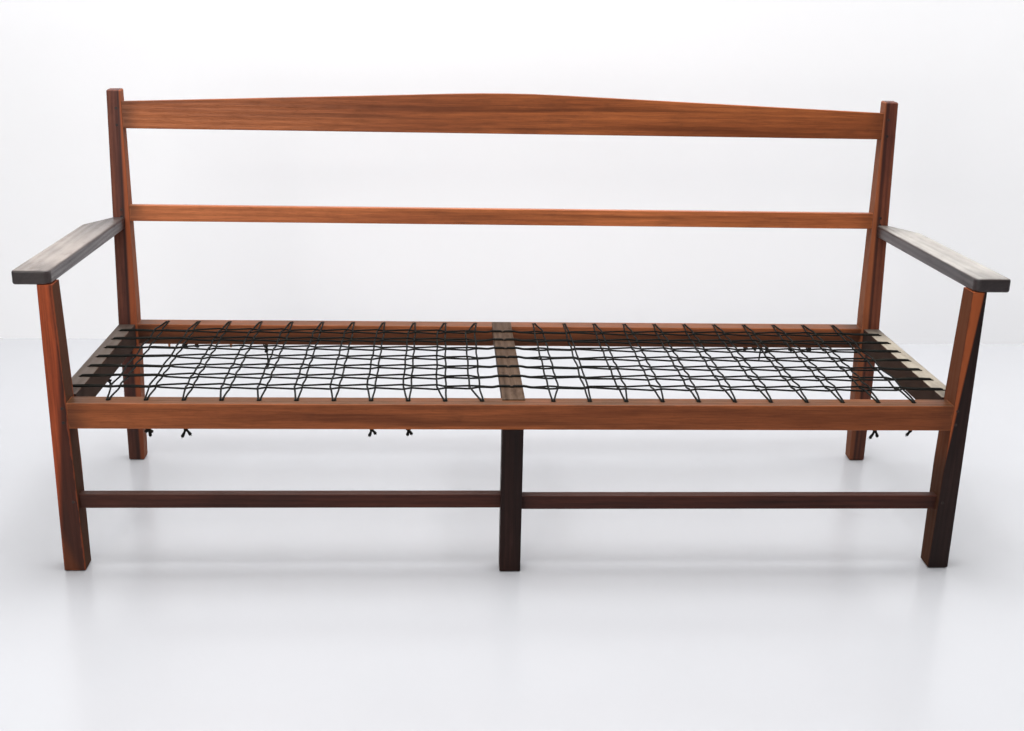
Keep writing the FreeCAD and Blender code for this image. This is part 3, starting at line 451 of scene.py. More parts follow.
# Painted shade on the inner faces of the front legs.
SHADE = (0.060, 0.021, 0.008)
LEG_TONES = ((0.085, 0.017, 0.007), (0.26, 0.050, 0.017), (0.44, 0.088, 0.028))
RIGHT_LEG_TONES = ((0.008, 0.005, 0.005), (0.016, 0.008, 0.007), (0.034, 0.013, 0.010))
ORANGE_EDGE = ((0.40, 0.095, 0.028), -0.0122, -0.0170, 0.074, 0.95)
DARK_LOWER = ((0.020, 0.008, 0.006), -0.0080, 0.0060, 0.090, 0.97)
ORANGE_FOOT = ((0.21, 0.054, 0.015), -0.0860, -0.1140, -0.350, 0.65)
# A painted shade along the inner edge of the left leg, strongest towards its top.
UPPER_EDGE_SHADE = ((0.050, 0.016, 0.009), 0.0125, 0.0175, -0.02, 0.8)

for side, word, tones, strips in (
    (-1, "left", LEG_TONES, [UPPER_EDGE_SHADE, DARK_LOWER, ORANGE_FOOT]),
    (1, "right", RIGHT_LEG_TONES, [ORANGE_EDGE]),
):
    piece = "front_leg_" + word
    leg_wood = wood(
        piece + "_wood",
        "Z",
        (side * 0.9315, FRONT_PLANE + 0.028, 0.3125),
        (0.0185, 0.028, 0.3125),
        tones,
        11.0 + side,
        drift=(side * 0.0125, 0.0),
        taper=(-0.0125, 0.0),
        strips=strips,
        sheltered=(SHADE, -side, 0.85),
        foot=(EARTH, 0.05, 0.30, 0.30),
        grime=0.15,
        roughness=0.40,
        gloss=0.16,
    )
    finish(piece, leg_wood)

# ---------------------------------------------------------------- rear posts
# Each rear leg and back stile is one sawn piece, upright below the seat and raked above it.
# The heartwood outside is a dark purple brown and the sapwood strip inside is orange.

POST_PLANE = 0.262
SEAT_REAR = 0.3605
POST_TONES = ((0.030, 0.011, 0.009), (0.085, 0.025, 0.018), (0.19, 0.055, 0.028))
POST_INSIDE = (0.16, 0.064, 0.034)
POST_MIDDLE = 0.461
KNEE = SEAT_REAR - POST_MIDDLE

SAPWOOD = {
    -1: ((0.40, 0.095, 0.030), 0.006, 0.012, 0.0, 0.9),
    1: ((0.34, 0.100, 0.038), -0.006, -0.012, 0.0, 0.85),
}
STAIN = {
    -1: ((0.018, 0.009, 0.008), 0.001, 0.0035, 0.004, 0.7),
    1: ((0.020, 0.010, 0.009), 0.001, -0.0035, 0.004, 0.6),
}

for side, word in ((-1, "left"), (1, "right")):
    piece = "rear_post_" + word
    post_wood = wood(
        piece + "_wood",
        "Z",
        (side * 0.9295, POST_PLANE + 0.0205, POST_MIDDLE),
        (0.0205, 0.0205, POST_MIDDLE),
        POST_TONES,
        23.0 + side,
        drift=(0.0, 0.094),
        knee=KNEE,
        strips=[STAIN[side], SAPWOOD[side]],
        sheltered=(POST_INSIDE, -side, 0.7),
        foot=(EARTH, 0.05, 0.30, 0.5),
        roughness=0.42,
        gloss=0.18,
    )
    finish(piece, post_wood)

# ---------------------------------------------------------------- middle leg
# A shorter leg under the front rail, splayed a little forward, of the darkest heartwood.

MIDDLE_LEG_TONES = ((0.006, 0.004, 0.004), (0.014, 0.006, 0.005), (0.030, 0.011, 0.008))
finish(
    "middle_leg",
    wood(
        "middle_leg_wood",
        "Z",
        (-0.010, FRONT_PLANE + 0.016, 0.1615),
        (0.0225, 0.021, 0.1615),
        MIDDLE_LEG_TONES,
        31.0,
        drift=(0.0, 0.031),
        grime=0.1,
        gloss=0.14,
    ),
)

# ---------------------------------------------------------------- long seat rails
# Two straight rails between the legs, drilled from above for the cross cords.
# Their tops are rubbed paler and duller than their faces.

MM = 0.001
CROSS_FIRST, CROSS_PITCH, CROSS_COUNT = 74.0 * MM, 76.2 * MM, 11
FRONT_HOLES = FRONT_PLANE + 23.0 * MM
REAR_HOLES = POST_PLANE + 27.0 * MM
RAIL_TONES = ((0.065, 0.018, 0.008), (0.215, 0.060, 0.021), (0.34, 0.100, 0.034))
RAIL_TOP = (0.078, 0.038, 0.016)
# Painted shadow of the lacing on the lower part of the rear rail.
RAIL_SHADE = (0.046, 0.018, 0.008)
# Bright and dull ends that lie past the piece, so that its top is even all along.
NO_FADE = (2.0, 3.0)
finish(
    "front_seat_rail",
    wood(
        "front_seat_rail_wood",
        "X",
        (0.0, FRONT_PLANE + 0.021, 0.3505),
        (0.914, 0.021, 0.0275),
        RAIL_TONES,
        41.0,
        pith=(0.0, 0.06, -0.03),
        top=(RAIL_TOP, 0.85, *NO_FADE),
        joints=(0.06, 0.6),
        holes=(CROSS_FIRST, CROSS_PITCH, CROSS_COUNT, 2.0 * MM, True),
        roughness=0.40,
        gloss=0.13,
    ),
)
finish(
    "rear_seat_rail",
    wood(
        "rear_seat_rail_wood",
        "X",
        (0.0, POST_PLANE + 0.023, 0.335),
        (0.905, 0.021, 0.0255),
        RAIL_TONES,
        43.0,
        pith=(0.0, -0.05, 0.04),
        top=(RAIL_TOP, 0.6, *NO_FADE),
        holes=(CROSS_FIRST, CROSS_PITCH, CROSS_COUNT, 4.0 * MM, True),
        # A painted shadow of the lacing over the rail's lower part.
        foot=(RAIL_SHADE, 0.322, 0.356, 0.80),
        joints=(0.07, 0.75),
        roughness=0.42,
        gloss=0.16,
    ),
)

# ---------------------------------------------------------------- side seat rails
# Short rails from leg to post, falling a little to the rear. Their tops have lost their oil, and
# the right one's pale cream top is also a painted highlight of glare; their inner faces carry
# painted shade.

LONG_FIRST, LONG_PITCH, LONG_COUNT = FRONT_PLANE + 110.0 * MM, 72.2 * MM, 7
SIDE_HOLES = 932.0 * MM
SIDE_MIDDLE = -8.5 * MM
SIDE_TONES = ((0.016, 0.007, 0.004), (0.040, 0.015, 0.008), (0.070, 0.028, 0.015))
# Oil-less tops; the right one's pale cream tone is also a painted highlight of glare from the right.
SIDE_TOPS_AND_GLARE = {-1: (0.125, 0.098, 0.080), 1: (0.44, 0.39, 0.31)}
# Painted shade on the inner faces of the side rails.
SIDE_INSIDE_SHADE = (0.034, 0.017, 0.010)

for side, word in ((-1, "left"), (1, "right")):
    piece = "side_rail_" + word
    finish(
        piece,
        wood(
            piece + "_wood",
            "Y",
            (side * 0.930, SIDE_MIDDLE, 0.3413),
            (0.020, 0.2705, 0.0275),
            SIDE_TONES,
            51.0 + side,
            drift=(0.0, -0.031),
            top=(SIDE_TOPS_AND_GLARE[side], 0.92, 0.30, 0.60),
            sheltered=(SIDE_INSIDE_SHADE, -side, 0.9),
            joints=(0.11, 0.8),
            holes=(LONG_FIRST - SIDE_MIDDLE, LONG_PITCH, LONG_COUNT, side * 2.0 * MM, False),
            rim=0.0125,
            grime=0.5,
            roughness=0.55,
            gloss=0.2,
        ),
    )

# ---------------------------------------------------------------- centre board
# A bare planed board across the seat, let into both long rails, bleached by wear.

BOARD_MIDDLE, BOARD_CENTRE = -8.0 * MM, -7.0 * MM
BOARD_TONES = ((0.030, 0.016, 0.009), (0.060, 0.033, 0.019), (0.102, 0.061, 0.037))
finish(
    "centre_board",
    wood(
        "centre_board_wood",
        "Y",
        (BOARD_MIDDLE, BOARD_CENTRE, 0.362),
        (0.024, 0.305, 0.010),
        BOARD_TONES,
        61.0,
        drift=(0.0, -0.029),
        holes=(LONG_FIRST - BOARD_CENTRE, LONG_PITCH, LONG_COUNT, 0.0, False),
        grime=0.6,
        roughness=0.66,
        gloss=0.14,
        ring_depth=0.3,
    ),
)

# ---------------------------------------------------------------- front stretchers
# Two thin rails low down between the front legs and the middle leg, dark and dull.

STRETCHER_TOP = (0.09, 0.045, 0.034)
STRETCHER_TONES = ((0.012, 0.005, 0.004), (0.036, 0.011, 0.008), (0.085, 0.024, 0.014))

for side, word, low in ((-1, "left", 0.140), (1, "right", 0.1365)):
    piece = "front_stretcher_" + word
    finish(
        piece,
        wood(
            piece + "_wood",
            "X",
            (side * 0.46, FRONT_PLANE + 0.024, low + 0.0155),
            (0.45, 0.011, 0.0155),
            STRETCHER_TONES,
            71.0 + side,
            top=(STRETCHER_TOP, 0.6, *NO_FADE),
            joints=(0.05, 0.5),
            gloss=0.16,
        ),
    )

# ---------------------------------------------------------------- arms
# Flat boards falling to the rear, with an eased edge all round and a sawn outer rear corner.
# Hands have worn the oil off their tops.

ARM_TONES = ((0.010, 0.008, 0.009), (0.026, 0.019, 0.021), (0.055, 0.040, 0.040))
ARM_TOPS = {
    -1: ((0.33, 0.28, 0.245), 0.9, -0.1, 0.30),
    1: ((0.43, 0.40, 0.36), 0.9, 0.1, 0.7),
}

for side, word in ((-1, "left"), (1, "right")):
    piece = "armrest_" + word
    finish(
        piece,
        wood(
            piece + "_wood",
            "Y",
            (side * 0.960, -0.027, 0.6239),
            (0.037, 0.312, 0.0145),
            ARM_TONES,
            81.0 + side,
            drift=(0.0, -0.05),
            top=ARM_TOPS[side],
            joints=(0.13, 0.65),
            reach=0.006,
            roughness=0.36,
            gloss=0.5,
        ),
    )

# ---------------------------------------------------------------- crest rail and back rail
# The crest has a low gable for its upper edge; a plain thinner rail runs below it.
# Both lie in the plane of the raked posts and show the clearest figure.

CREST_TONES = ((0.085, 0.022, 0.008), (0.27, 0.074, 0.024), (0.42, 0.124, 0.039))
BACK_TONES = ((0.130, 0.036, 0.013), (0.37, 0.104, 0.036), (0.54, 0.165, 0.056))
finish(
    "crest_rail",
    wood(
        "crest_rail_wood",
        "X",
        (0.0, POST_PLANE + 0.063, 0.875),
        (0.916, 0.017, 0.048),
        CREST_TONES,
        91.0,
        pith=(0.0, 0.03, -0.09),
        ring_width=0.011,
        joints=(0.05, 0.6),
        roughness=0.38,
        gloss=0.18,
    ),
)
finish(
    "back_rail",
    wood(
        "back_rail_wood",
        "X",
        (0.0, POST_PLANE + 0.042, 0.6328),
        (0.911, 0.014, 0.0193),
        BACK_TONES,
        97.0,
        pith=(0.0, 0.04, -0.06),
        joints=(0.05, 0.6),
        roughness=0.38,
        gloss=0.18,
    ),
)

# ---------------------------------------------------------------- pegs
# Whittled dowels driven through the tenons; their dark end grain stands a little proud.

PEG_TONES = ((0.010, 0.006, 0.005), (0.024, 0.012, 0.010), (0.045, 0.022, 0.017))
peg_wood = wood("peg_wood", "Y", (0, 0, 0), (0.01, 0.01, 0.01), PEG_TONES, 5.0, worn=0.0, roughness=0.5)
for piece in (
    "front_rail_pegs",
    "stretcher_pegs",
    "side_rail_pegs",
    "rear_rail_pegs",
    "crest_rail_pegs",
    "back_rail_pegs",
):
    finish(piece, peg_wood)

# ---------------------------------------------------------------- lacing of the seat
# Braided black cord, threaded up and down through the drilled rails and the centre board.
# Two cords share each hole; their strands bow apart and are woven over and under each other.

CORD_RADIUS = 2.0 * MM
NEST = 2.15 * MM
BOARD_EDGE, BOARD_PROUD, BOARD_THICK = 24.0 * MM, 3.0 * MM, 20.0 * MM
SEAT_FRONT = 0.378
SIDE_RAIL_TALL = 55.0 * MM
FRONT_RAIL_LOW = SEAT_FRONT - 55.0 * MM
REAR_RAIL_LOW = SEAT_REAR - 51.0 * MM
CROSS_WEAVE, LONG_WEAVE = 2.45 * MM, 1.65 * MM
STEP = 1.0 * MM


def seat_level(depth):
    """Height of the plane through the rails' tops: a straight fall from front to rear."""
    share = (depth - FRONT_PLANE) / (POST_PLANE - FRONT_PLANE)
    return SEAT_FRONT + (SEAT_REAR - SEAT_FRONT) * share


def smooth(values, low, high):
    """Smooth step of values from 0 at low to 1 at high."""
    share = np.clip((values - low) / (high - low), 0.0, 1.0)
    return share * share * (3.0 - 2.0 * share)


def hole_x(side, index):
    """Where a cross pair's hole is along a long rail: equal steps out from the middle."""
    return side * (CROSS_FIRST + CROSS_PITCH * index)


def hole_y(index):
    """Where a lengthways pair's hole is along a side rail: equal steps back from the front."""
    return LONG_FIRST + LONG_PITCH * index


def cross_gap(side, index):
    """Half the distance between the two strands of a cross pair in the middle of the seat."""
    drawn_together = {(1, 1): 4.6, (-1, 9): 6.6, (-1, 8): 7.2, (-1, 0): 11.0, (1, 0): 10.8}
    return drawn_together.get((side, index), 9.0 + 0.8 * math.sin(2.3 * index + side)) * MM


def drawn_out(side, index):
    """How far a cross pair's middle line is drawn away from the board, along X."""
    near_board = {(-1, 0): 14.0, (-1, 1): 8.5, (1, 0): 6.5, (1, 1): 1.2, (1, 2): 1.6}
    return side * near_board.get((side, index), 4.5 if side < 0 else 0.5) * MM


def long_gap(side, x):
    """Half the distance between the two strands of a lengthways pair at each x.

    It is narrow at both ends, opens to a short lens at the first cross pair from the left, closes
    at the second, and stays open from there to the last pair. Each row is a place along X and the
    half gap there in mm, with straight changes in between.
    """
    places = sorted(hole_x(side, index) for index in range(CROSS_COUNT))
    first, second, third, last = places[0], places[1], places[2], places[-1]
    in_hole, on_rail = side * (SIDE_HOLES - 0.004), side * (SIDE_HOLES - 0.028)
    if side < 0:
        rows = [
            (in_hole, 2.15),
            (on_rail, 4.4),
            (first - 0.011, 2.3),
            (first + 0.011, 9.0),
            (second - 0.011, 2.8),
            (second + 0.012, 11.5),
            (third, 12.5),
            (last - 0.09, 11.0),
            (last + 0.012, 2.3),
        ]
    else:
        rows = [
            (first - 0.011, 2.3),
            (first + 0.011, 10.0),
            (second - 0.006, 3.0),
            (third - 0.012, 4.5),
            (third + 0.012, 12.0),
            (last - 0.05, 11.0),
            (last + 0.012, 2.4),
            (on_rail, 4.4),
            (in_hole, 2.15),
        ]
    spots, gaps = zip(*rows)
    return np.interp(x, spots, np.array(gaps) * MM)


def over_or_under(side, pair, strand, other, other_strand):
    """+1 where the cross strand passes over the lengthways strand, -1 where it passes under.

    Strands alternate like a plain weave; where a lengthways pair runs as one, both its strands
    are passed on the same side.
    """
    x = hole_x(side, pair) + drawn_out(side, pair) + strand * cross_gap(side, pair)
    rank = 2 * pair + (strand > 0)
    other_rank = 2 * other + (other_strand > 0)
    if long_gap(side, x) < 4.0 * MM:
        other_rank = other
    return 1.0 if (rank + other_rank) % 2 == 0 else -1.0


def cross_strand(side, pair, strand):
    """One strand from the front rail's hole to the rear rail's hole, front first, with its two
    vertical runs: x bows out from the holes, z goes over and under each lengthways strand."""
    front, rear = FRONT_HOLES + strand * NEST, REAR_HOLES + strand * NEST
    y = np.arange(front, rear, STEP)
    opened = np.clip(np.minimum(y - front - 0.003, rear - 0.003 - y) / 0.085, 0.0, 1.0)
    gap = NEST + (cross_gap(side, pair) - NEST) * opened
    hole = hole_x(side, pair)
    others = [(other, s) for other in range(LONG_COUNT) for s in (-1, 1)]
    mid_x = hole + drawn_out(side, pair) + strand * cross_gap(side, pair)
    spots = [hole_y(other) + s * float(long_gap(side, mid_x)) for other, s in others]
    signs = [over_or_under(side, pair, strand, other, s) for other, s in others]
    woven = np.interp(y, [front + 0.03] + spots + [rear - 0.03], [0.0] + signs + [0.0])
    kink = 0.8 * MM * np.sin(math.pi * (y - LONG_FIRST) / LONG_PITCH + pair)
    x = hole + strand * gap + (drawn_out(side, pair) + kink) * opened
    z = seat_level(y) + NEST + CROSS_WEAVE * woven
    over = np.column_stack([x, y, z])
    down_front = [[hole + strand * NEST, front, FRONT_RAIL_LOW - NEST]]
    down_rear = [[hole + strand * NEST, rear, REAR_RAIL_LOW - NEST]]
    return np.concatenate([down_front, over, down_rear])


def long_strand(side, pair, strand):
    """One strand from the side rail's hole to the centre board's hole, side rail first."""
    outer, inner = side * SIDE_HOLES, BOARD_MIDDLE + side * NEST
    x = np.arange(min(outer, inner), max(outer, inner), STEP)
    gap = long_gap(side, x)
    near_board = smooth(-np.abs(x - BOARD_MIDDLE), -BOARD_EDGE - 0.02, -BOARD_EDGE)
    gap = gap + (NEST - gap) * near_board
    depth = hole_y(pair)
    others = sorted(
        (hole_x(side, other) + drawn_out(side, other) + s * cross_gap(side, other), other, s)
        for other in range(CROSS_COUNT)
        for s in (-1, 1)
    )
    spots = [spot for spot, _, _ in others]
    signs = [-over_or_under(side, other, s, pair, strand) for _, other, s in others]
    ends = [spots[0] - 0.03, spots[-1] + 0.03]
    woven = np.interp(x, [ends[0]] + spots + [ends[1]], [0.0] + signs + [0.0])
    y = depth + strand * gap
    z = seat_level(y) + NEST + BOARD_PROUD * near_board + LONG_WEAVE * woven
    over = np.column_stack([x, y, z])
    if side > 0:
        over = over[::-1]
    lower = NEST if strand < 0 else 3 * NEST
    level = seat_level(depth + strand * NEST)
    down_side = [[outer, depth + strand * NEST, level - SIDE_RAIL_TALL - lower]]
    down_board = [[inner, depth + strand * NEST, level + BOARD_PROUD - BOARD_THICK - lower]]
    return np.concatenate([down_side, over, down_board])


def even_steps(points, step):
    """The polyline through the points, cut again into equal steps of its own length."""
    travelled = np.concatenate([[0.0], np.cumsum(np.linalg.norm(np.diff(points, axis=0), axis=1))])
    wanted = np.linspace(0.0, travelled[-1], max(2, int(travelled[-1] / step)))
    return np.column_stack([np.interp(wanted, travelled, points[:, axis]) for axis in range(3)])


def relaxed(points, spread):
    """The polyline with each point moved to a bell-weighted mean of its neighbours, so that the
    cord turns round corners instead of breaking; spread is the bell's width in steps."""
    reach = int(3 * spread)
    weights = np.exp(-0.5 * (np.arange(-reach, reach + 1) / spread) ** 2)
    weights /= weights.sum()
    padded = np.pad(points, ((reach, reach), (0, 0)), mode="edge")
    return np.column_stack([np.convolve(padded[:, axis], weights, "valid") for axis in range(3)])


def threaded(strands, forward_first):
    """Join strands into one cord: every second one runs backwards, as the cord comes back."""
    runs = [
        strand if (index % 2 == 0) == forward_first else strand[::-1]
        for index, strand in enumerate(strands)
    ]
    return relaxed(even_steps(np.concatenate(runs), STEP), 2.2)


def tube_arrays(line, radius, first_side, second_side, share, sides=10):
    """Closed round tube along a line, as (vertices, quads, triangles, corners' places on its map).

    Each ring is line + radius * (cos a * side + sin a * other), where side is the mix of two fixed
    directions given by share, made square to the line, and other is square to both. The map's
    first part is the length travelled in metres and its second the share of a turn.
    """
    along = np.gradient(line, axis=0)
    along /= np.linalg.norm(along, axis=1)[:, None]
    mix = np.outer(1.0 - share, first_side) + np.outer(share, second_side)
    side = mix - along * np.sum(mix * along, axis=1)[:, None]
    side /= np.linalg.norm(side, axis=1)[:, None]
    other = np.cross(along, side)
    angles = np.linspace(0.0, 2.0 * math.pi, sides, endpoint=False)
    cosines, sines = np.cos(angles)[None, :, None], np.sin(angles)[None, :, None]
    ring = cosines * side[:, None] + sines * other[:, None]
    rings = np.asarray(radius).reshape(-1, 1, 1) * ring + line[:, None]
    count = len(line)
    vertices = np.concatenate([rings.reshape(-1, 3), line[:1], line[-1:]])
    here = np.arange(count - 1)[:, None] * sides
    step = np.arange(sides)[None, :]
    following = (step + 1) % sides
    quads = np.stack(
        [here + step, here + following, here + sides + following, here + sides + step], axis=-1
    ).reshape(-1, 4)
    base = (count - 1) * sides
    turn = np.arange(sides)
    after = (turn + 1) % sides
    first_cap = np.column_stack([np.full(sides, count * sides), after, turn])
    last_cap = np.column_stack([np.full(sides, count * sides + 1), base + turn, base + after])
    travelled = np.concatenate([[0.0], np.cumsum(np.linalg.norm(np.diff(line, axis=0), axis=1))])
    ring_of = np.repeat(np.arange(count - 1), sides)
    corner_u = np.stack([travelled[ring_of], travelled[ring_of]] + [travelled[ring_of + 1]] * 2, axis=-1)
    around = np.tile(np.arange(sides), count - 1) / sides
    corner_v = np.stack([around, around + 1 / sides, around + 1 / sides, around], axis=-1)
    corners = np.stack([corner_u, corner_v], axis=-1).reshape(-1, 2)
    return vertices, quads, np.concatenate([first_cap, last_cap]), corners


def cord_piece(name, tubes, material):
    """One object made of all the tubes, with their map in the layer that the braid reads."""
    offsets = np.cumsum([0] + [len(tube[0]) for tube in tubes])
    vertices = np.concatenate([tube[0] for tube in tubes])
    quads = np.concatenate([tube[1] + offset for tube, offset in zip(tubes, offsets)])
    caps = np.concatenate([tube[2] + offset for tube, offset in zip(tubes, offsets)])
    mesh = bpy.data.meshes.new(name)
    mesh.from_pydata(vertices.tolist(), [], quads.tolist() + caps.tolist())
    corners = np.concatenate([tube[3] for tube in tubes] + [np.zeros((caps.size, 2))])
    mesh.uv_layers.new(name="cord").data.foreach_set("uv", corners.ravel())
    mesh.shade_smooth()
    mesh.materials.append(material)
    made = bpy.data.objects.new(name, mesh)
    bpy.context.scene.collection.objects.link(made)
    return made


def make_cord_material():
    """Black braided cord: two families of slanting ridges, one each way round, drawn by sines of
    length and turn from the cord's own map, with dusty fibres on top."""
    material, tree, shader = new_material("braided_cord")
    place = make_node(tree, "ShaderNodeTexCoord")
    along, around = make_node(tree, "ShaderNodeSeparateXYZ", {0: place.outputs["UV"]}).outputs[:2]
    turn = math_node(tree, "MULTIPLY", around, 2.0 * math.pi * 4)
    climb = math_node(tree, "MULTIPLY", along, 2.0 * math.pi / 0.0021)
    right = math_node(tree, "SINE", math_node(tree, "ADD", climb, turn))
    left = math_node(tree, "SINE", math_node(tree, "SUBTRACT", climb, turn))
    braid = math_node(tree, "MAXIMUM", right, left)
    fuzz = make_node(
        tree,
        "ShaderNodeTexNoise",
        {"Vector": place.outputs["Object"], "Scale": 900.0, "Detail": 3.0},
    ).outputs["Fac"]
    dust = make_node(
        tree,
        "ShaderNodeTexNoise",
        {"Vector": place.outputs["Object"], "Scale": 26.0, "Detail": 4.0},
    ).outputs["Fac"]
    tone = blend_tones(
        tree, ramp(tree, braid, -0.3, 1.0), (0.002, 0.002, 0.002, 1.0), (0.009, 0.009, 0.007, 1.0)
    )
    dusty = blend_tones(
        tree, ramp(tree, dust, 0.50, 0.78, 0.0, 0.4), tone, (0.030, 0.026, 0.016, 1.0)
    )
    fuzzy = blend_tones(tree, ramp(tree, fuzz, 0.58, 0.78, 0.0, 0.3), dusty, (0.04, 0.037, 0.028, 1.0))
    tree.links.new(fuzzy, shader.inputs["Base Color"])
    tree.links.new(ramp(tree, braid, -0.5, 1.0, 0.9, 0.65), shader.inputs["Roughness"])
    shader.inputs["Specular IOR Level"].default_value = 0.1
    height = math_node(tree, "MULTIPLY_ADD", fuzz, 0.25, braid)
    bump = make_node(
        tree, "ShaderNodeBump", {"Height": height, "Strength": 0.8, "Distance": 0.00025}
    )
    tree.links.new(bump.outputs["Normal"], shader.inputs["Normal"])
    return material


cord_material = make_cord_material()
RING_STEP = 3.0 * MM


def belongs(piece, *replaced):
    """Fix a cord piece to the frame, in place of its plain CAD pieces."""
    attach(piece, "root")
    if replaced:
        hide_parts(*replaced)


for side, half_seat in ((-1, "left"), (1, "right")):
    for strand, order in ((-1, "first"), (1, "second")):
        crossings = [cross_strand(side, pair, strand) for pair in range(CROSS_COUNT)]
        line = even_steps(threaded(crossings, strand < 0), RING_STEP)
        low_share = smooth(-line[:, 2], -0.35, -0.33)
        place = half_seat + "_" + order
        tube = tube_arrays(line, CORD_RADIUS, (1, 0, 0), (0, 1, 0), low_share)
        cord = cord_piece("lacing_cross_" + place, [tube], cord_material)
        belongs(cord, "cross_cord_" + place)
        crossings = [long_strand(side, pair, strand) for pair in range(LONG_COUNT)]
        line = even_steps(threaded(crossings, strand < 0), RING_STEP)
        below = seat_level(line[:, 1]) - line[:, 2]
        low_share = smooth(below, 0.006, 0.012)
        tube = tube_arrays(line, CORD_RADIUS, (0, 1, 0), (1, 0, 0), low_share)
        cord = cord_piece("lacing_long_" + place, [tube], cord_material)
        belongs(cord, "long_cord_" + place)

# ---------------------------------------------------------------- knots and cut ends
# Where a cord was joined or ended it is tied in an overhand knot under a rail and cut, and the
# braid has frayed at the cut. The knots sit just under the runs that go from hole to hole.

KNOT_SIZE = 3.9 * MM
KNOT_SIDE = (0.31, 0.42, 0.85)
HAIRS = 14
HAIR_RADIUS = 0.16 * MM
HAIR_SPREAD = 0.35
HAIR_CURL = 90.0
fraying = np.random.default_rng(7)


def overhand(middle, turn, size=KNOT_SIZE):
    """Tube of a small tight knot. Its line is a trefoil: (sin t + 2 sin 2t, cos t - 2 cos 2t,
    -sin 3t), scaled to size and turned about the vertical."""
    t = np.linspace(0.0, 2.0 * math.pi, 49)
    flat = np.column_stack([np.sin(t) + 2 * np.sin(2 * t), np.cos(t) - 2 * np.cos(2 * t)]) * size / 3
    x = flat[:, 0] * math.cos(turn) - 0.6 * np.sin(3 * t) * size * math.sin(turn)
    y = flat[:, 0] * math.sin(turn) + 0.6 * np.sin(3 * t) * size * math.cos(turn)
    line = np.column_stack([x, y, flat[:, 1]]) + np.array(middle)
    only_first = np.zeros(len(line))
    return tube_arrays(line, 0.9 * CORD_RADIUS, KNOT_SIDE, (0, 0, 1), only_first)


def hairs(end, heading):
    """Fibres that stand out of a cut end, each a thin tube bent away from the cord's line."""
    tubes = []
    for _ in range(HAIRS):
        start = end + fraying.normal(0.0, 0.45 * CORD_RADIUS, 3)
        spread = heading + fraying.normal(0.0, HAIR_SPREAD, 3)
        reach = np.linspace(-0.3, 1.0, 5)[:, None] * fraying.uniform(1.2, 3.0) * MM
        bend = np.outer(reach[:, 0] ** 2, fraying.normal(0.0, HAIR_CURL, 3))
        line = start + reach * spread + bend
        tubes.append(tube_arrays(line, HAIR_RADIUS, (0.6, 0.7, 0.4), (0, 0, 1), np.zeros(5), 4))
    return tubes


def cut_end(middle, dx, dy, length):
    """A cord's last stretch below its knot, a little bent and swollen where it was cut."""
    heading = np.array([dx, dy, -1.0]) / math.sqrt(dx * dx + dy * dy + 1.0)
    far = np.linspace(0.0, 1.0, 9)
    sway = np.outer(np.sin(math.pi * far), (0.6 * MM, -0.4 * MM, 0.0))
    line = np.array(middle) + np.outer(far * length, heading) + sway
    swollen = CORD_RADIUS * (1.25 + 0.5 * smooth(far, 0.35, 0.95))
    stub = tube_arrays(line, swollen, (1, 0, 0), (0, 1, 0), np.full(9, 0.3))
    return [stub] + hairs(line[-1], heading)


def knotted(name, places, low, size=KNOT_SIZE):
    """A row of knots with their cut ends: places are (x, y, [(dx, dy, length in mm), ...])."""
    tubes = []
    for index, (x, y, ends) in enumerate(places):
        middle = (x, y, low - 2 * NEST - size)
        tubes.append(overhand(middle, 0.9 * index, size))
        for dx, dy, length in ends:
            tubes += cut_end(middle, dx, dy, length * MM)
    return cord_piece(name, tubes, cord_material)


front_knots = knotted(
    "knots_under_front_rail",
    [
        (hole_x(-1, 9), FRONT_HOLES, [(0.25, 0.0, 16), (-0.7, 0.2, 9), (1.1, 0.1, 11)]),
        (hole_x(-1, 8), FRONT_HOLES, [(-0.45, 0.1, 20), (0.75, -0.1, 16)]),
        (hole_x(-1, 3), FRONT_HOLES, [(-0.3, 0.1, 16), (0.8, 0.0, 13)]),
        (hole_x(-1, 2), FRONT_HOLES, [(-0.15, 0.0, 13), (0.6, 0.1, 13)]),
        (hole_x(1, 9), FRONT_HOLES, [(-0.5, 0.0, 20), (0.5, 0.1, 16)]),
        (hole_x(1, 10), FRONT_HOLES, [(-0.6, 0.0, 13)]),
    ],
    FRONT_RAIL_LOW,
)
belongs(front_knots, "cord_knots")
belongs(
    knotted(
        "knots_under_rear_rail",
        [
            (-0.797, REAR_HOLES, [(0.5, 0.0, 9), (-0.6, -0.2, 8)]),
            (-0.768, REAR_HOLES, [(0.4, 0.1, 6)]),
            (0.618, REAR_HOLES, [(-0.7, 0.0, 7)]),
            (0.641, REAR_HOLES, [(0.3, -0.1, 6)]),
            (0.673, REAR_HOLES, [(-0.2, 0.0, 13), (0.3, 0.1, 12)]),
            (0.733, REAR_HOLES, [(0.5, 0.0, 8)]),
            (0.781, REAR_HOLES, [(-0.5, 0.1, 7), (0.6, 0.0, 8)]),
        ],
        REAR_RAIL_LOW,
        1.35 * KNOT_SIZE,
    )
)
SIDE_KNOT_Y = FRONT_PLANE + 0.343
side_rail_low = seat_level(SIDE_KNOT_Y) - SIDE_RAIL_TALL
belongs(knotted("knot_under_side_rail", [(-0.915, SIDE_KNOT_Y, [(0.2, 0.0, 13)])], side_rail_low))

# ---------------------------------------------------------------- wooden plugs
# Two whittled pins of fresh orange wood, pushed up into rear rail holes to lock the cord.

PLUG_TONES = ((0.20, 0.060, 0.015), (0.42, 0.130, 0.030), (0.55, 0.20, 0.055))
finish(
    "cord_plugs",
    wood("plug_wood", "Z", (-0.76, REAR_HOLES, 0.30), (0.08, 0.004, 0.006), PLUG_TONES, 3.0, worn=0.0),
)

# ---------------------------------------------------------------- free tails
# Two ends of cord left hanging from knots under the rear rail, limp and a little curled.
# The left one was knotted round itself and again near its end; the right one is cut off bare.

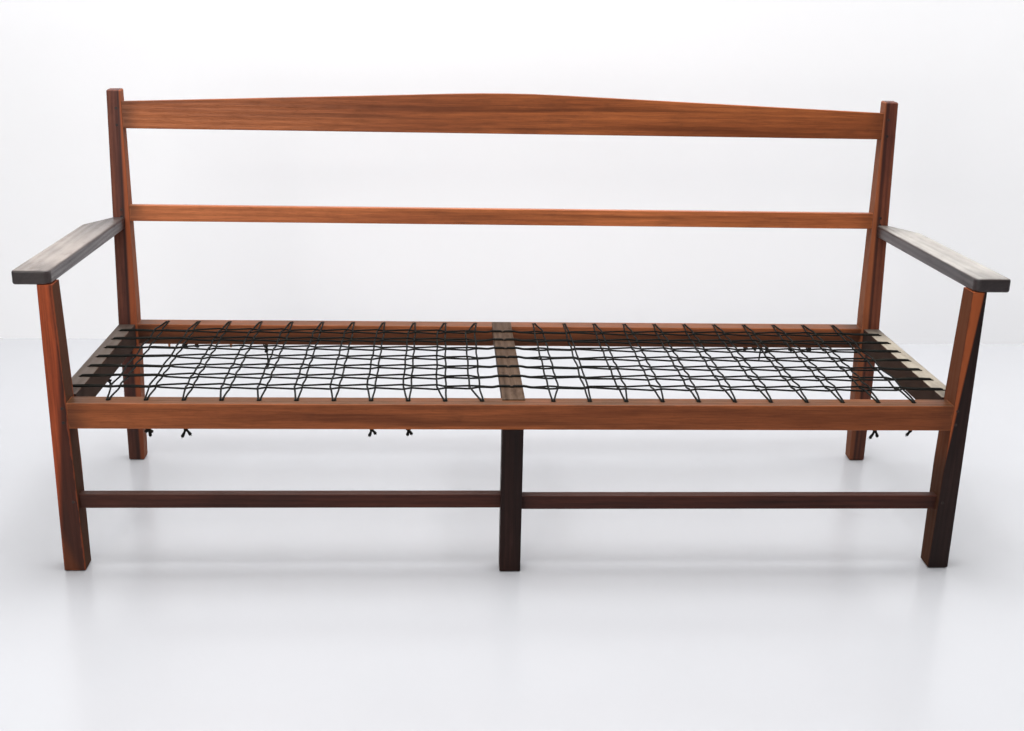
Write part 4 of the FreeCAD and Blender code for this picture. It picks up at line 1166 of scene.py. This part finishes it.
TAIL_POINTS = {
    "left": [
        (-0.598, 0.0, -0.0046),
        (-0.597, 0.001, -0.020),
        (-0.594, 0.0, -0.036),
        (-0.593, -0.0015, -0.052),
        (-0.5945, -0.001, -0.068),
    ],
    "right": [
        (0.656, 0.0, -0.0046),
        (0.657, -0.0008, -0.017),
        (0.6555, -0.001, -0.0295),
        (0.655, 0.0, -0.042),
    ],
}


def spline_line(name, points):
    """Points along the smooth spline that has the given points for its control points."""
    curve = bpy.data.curves.new(name, "CURVE")
    curve.dimensions = "3D"
    curve.resolution_u = 12
    spline = curve.splines.new("NURBS")
    spline.points.add(len(points) - 1)
    for control, place in zip(spline.points, points):
        control.co = (*place, 1.0)
    spline.order_u = 3
    spline.use_endpoint_u = True
    holder = bpy.data.objects.new(name, curve)
    mesh = bpy.data.meshes.new_from_object(holder)
    line = np.array([tuple(vertex.co) for vertex in mesh.vertices])
    bpy.data.objects.remove(holder)
    bpy.data.curves.remove(curve)
    bpy.data.meshes.remove(mesh)
    return line


TAIL_KNOTS = {"left": [(0.010, 1.5), (0.023, 1.3), (0.060, 1.1)], "right": [(0.007, 1.2)]}
for half_seat, far_end in (("left", "knot"), ("right", "bare")):
    points = [(x, REAR_HOLES + y, REAR_RAIL_LOW + z) for x, y, z in TAIL_POINTS[half_seat]]
    line = spline_line("tail_line_" + half_seat, points)
    tube = tube_arrays(line, CORD_RADIUS, (1, 0, 0), (0, 1, 0), np.full(len(line), 0.3))
    tail = cord_piece("tail_" + half_seat, [tube], cord_material)
    belongs(tail, "lacing_tail_" + half_seat)
    heading = (line[-1] - line[-2]) / np.linalg.norm(line[-1] - line[-2])
    extras = hairs(line[-1], heading)
    for index, (drop, size) in enumerate(TAIL_KNOTS[half_seat]):
        nearest = line[np.argmin(np.abs(line[:, 2] - (REAR_RAIL_LOW - drop)))]
        extras.append(overhand(nearest, 0.4 + 1.3 * index, size * KNOT_SIZE))
    trimmings = cord_piece("tail_ends_" + half_seat, extras, cord_material)
    belongs(trimmings)
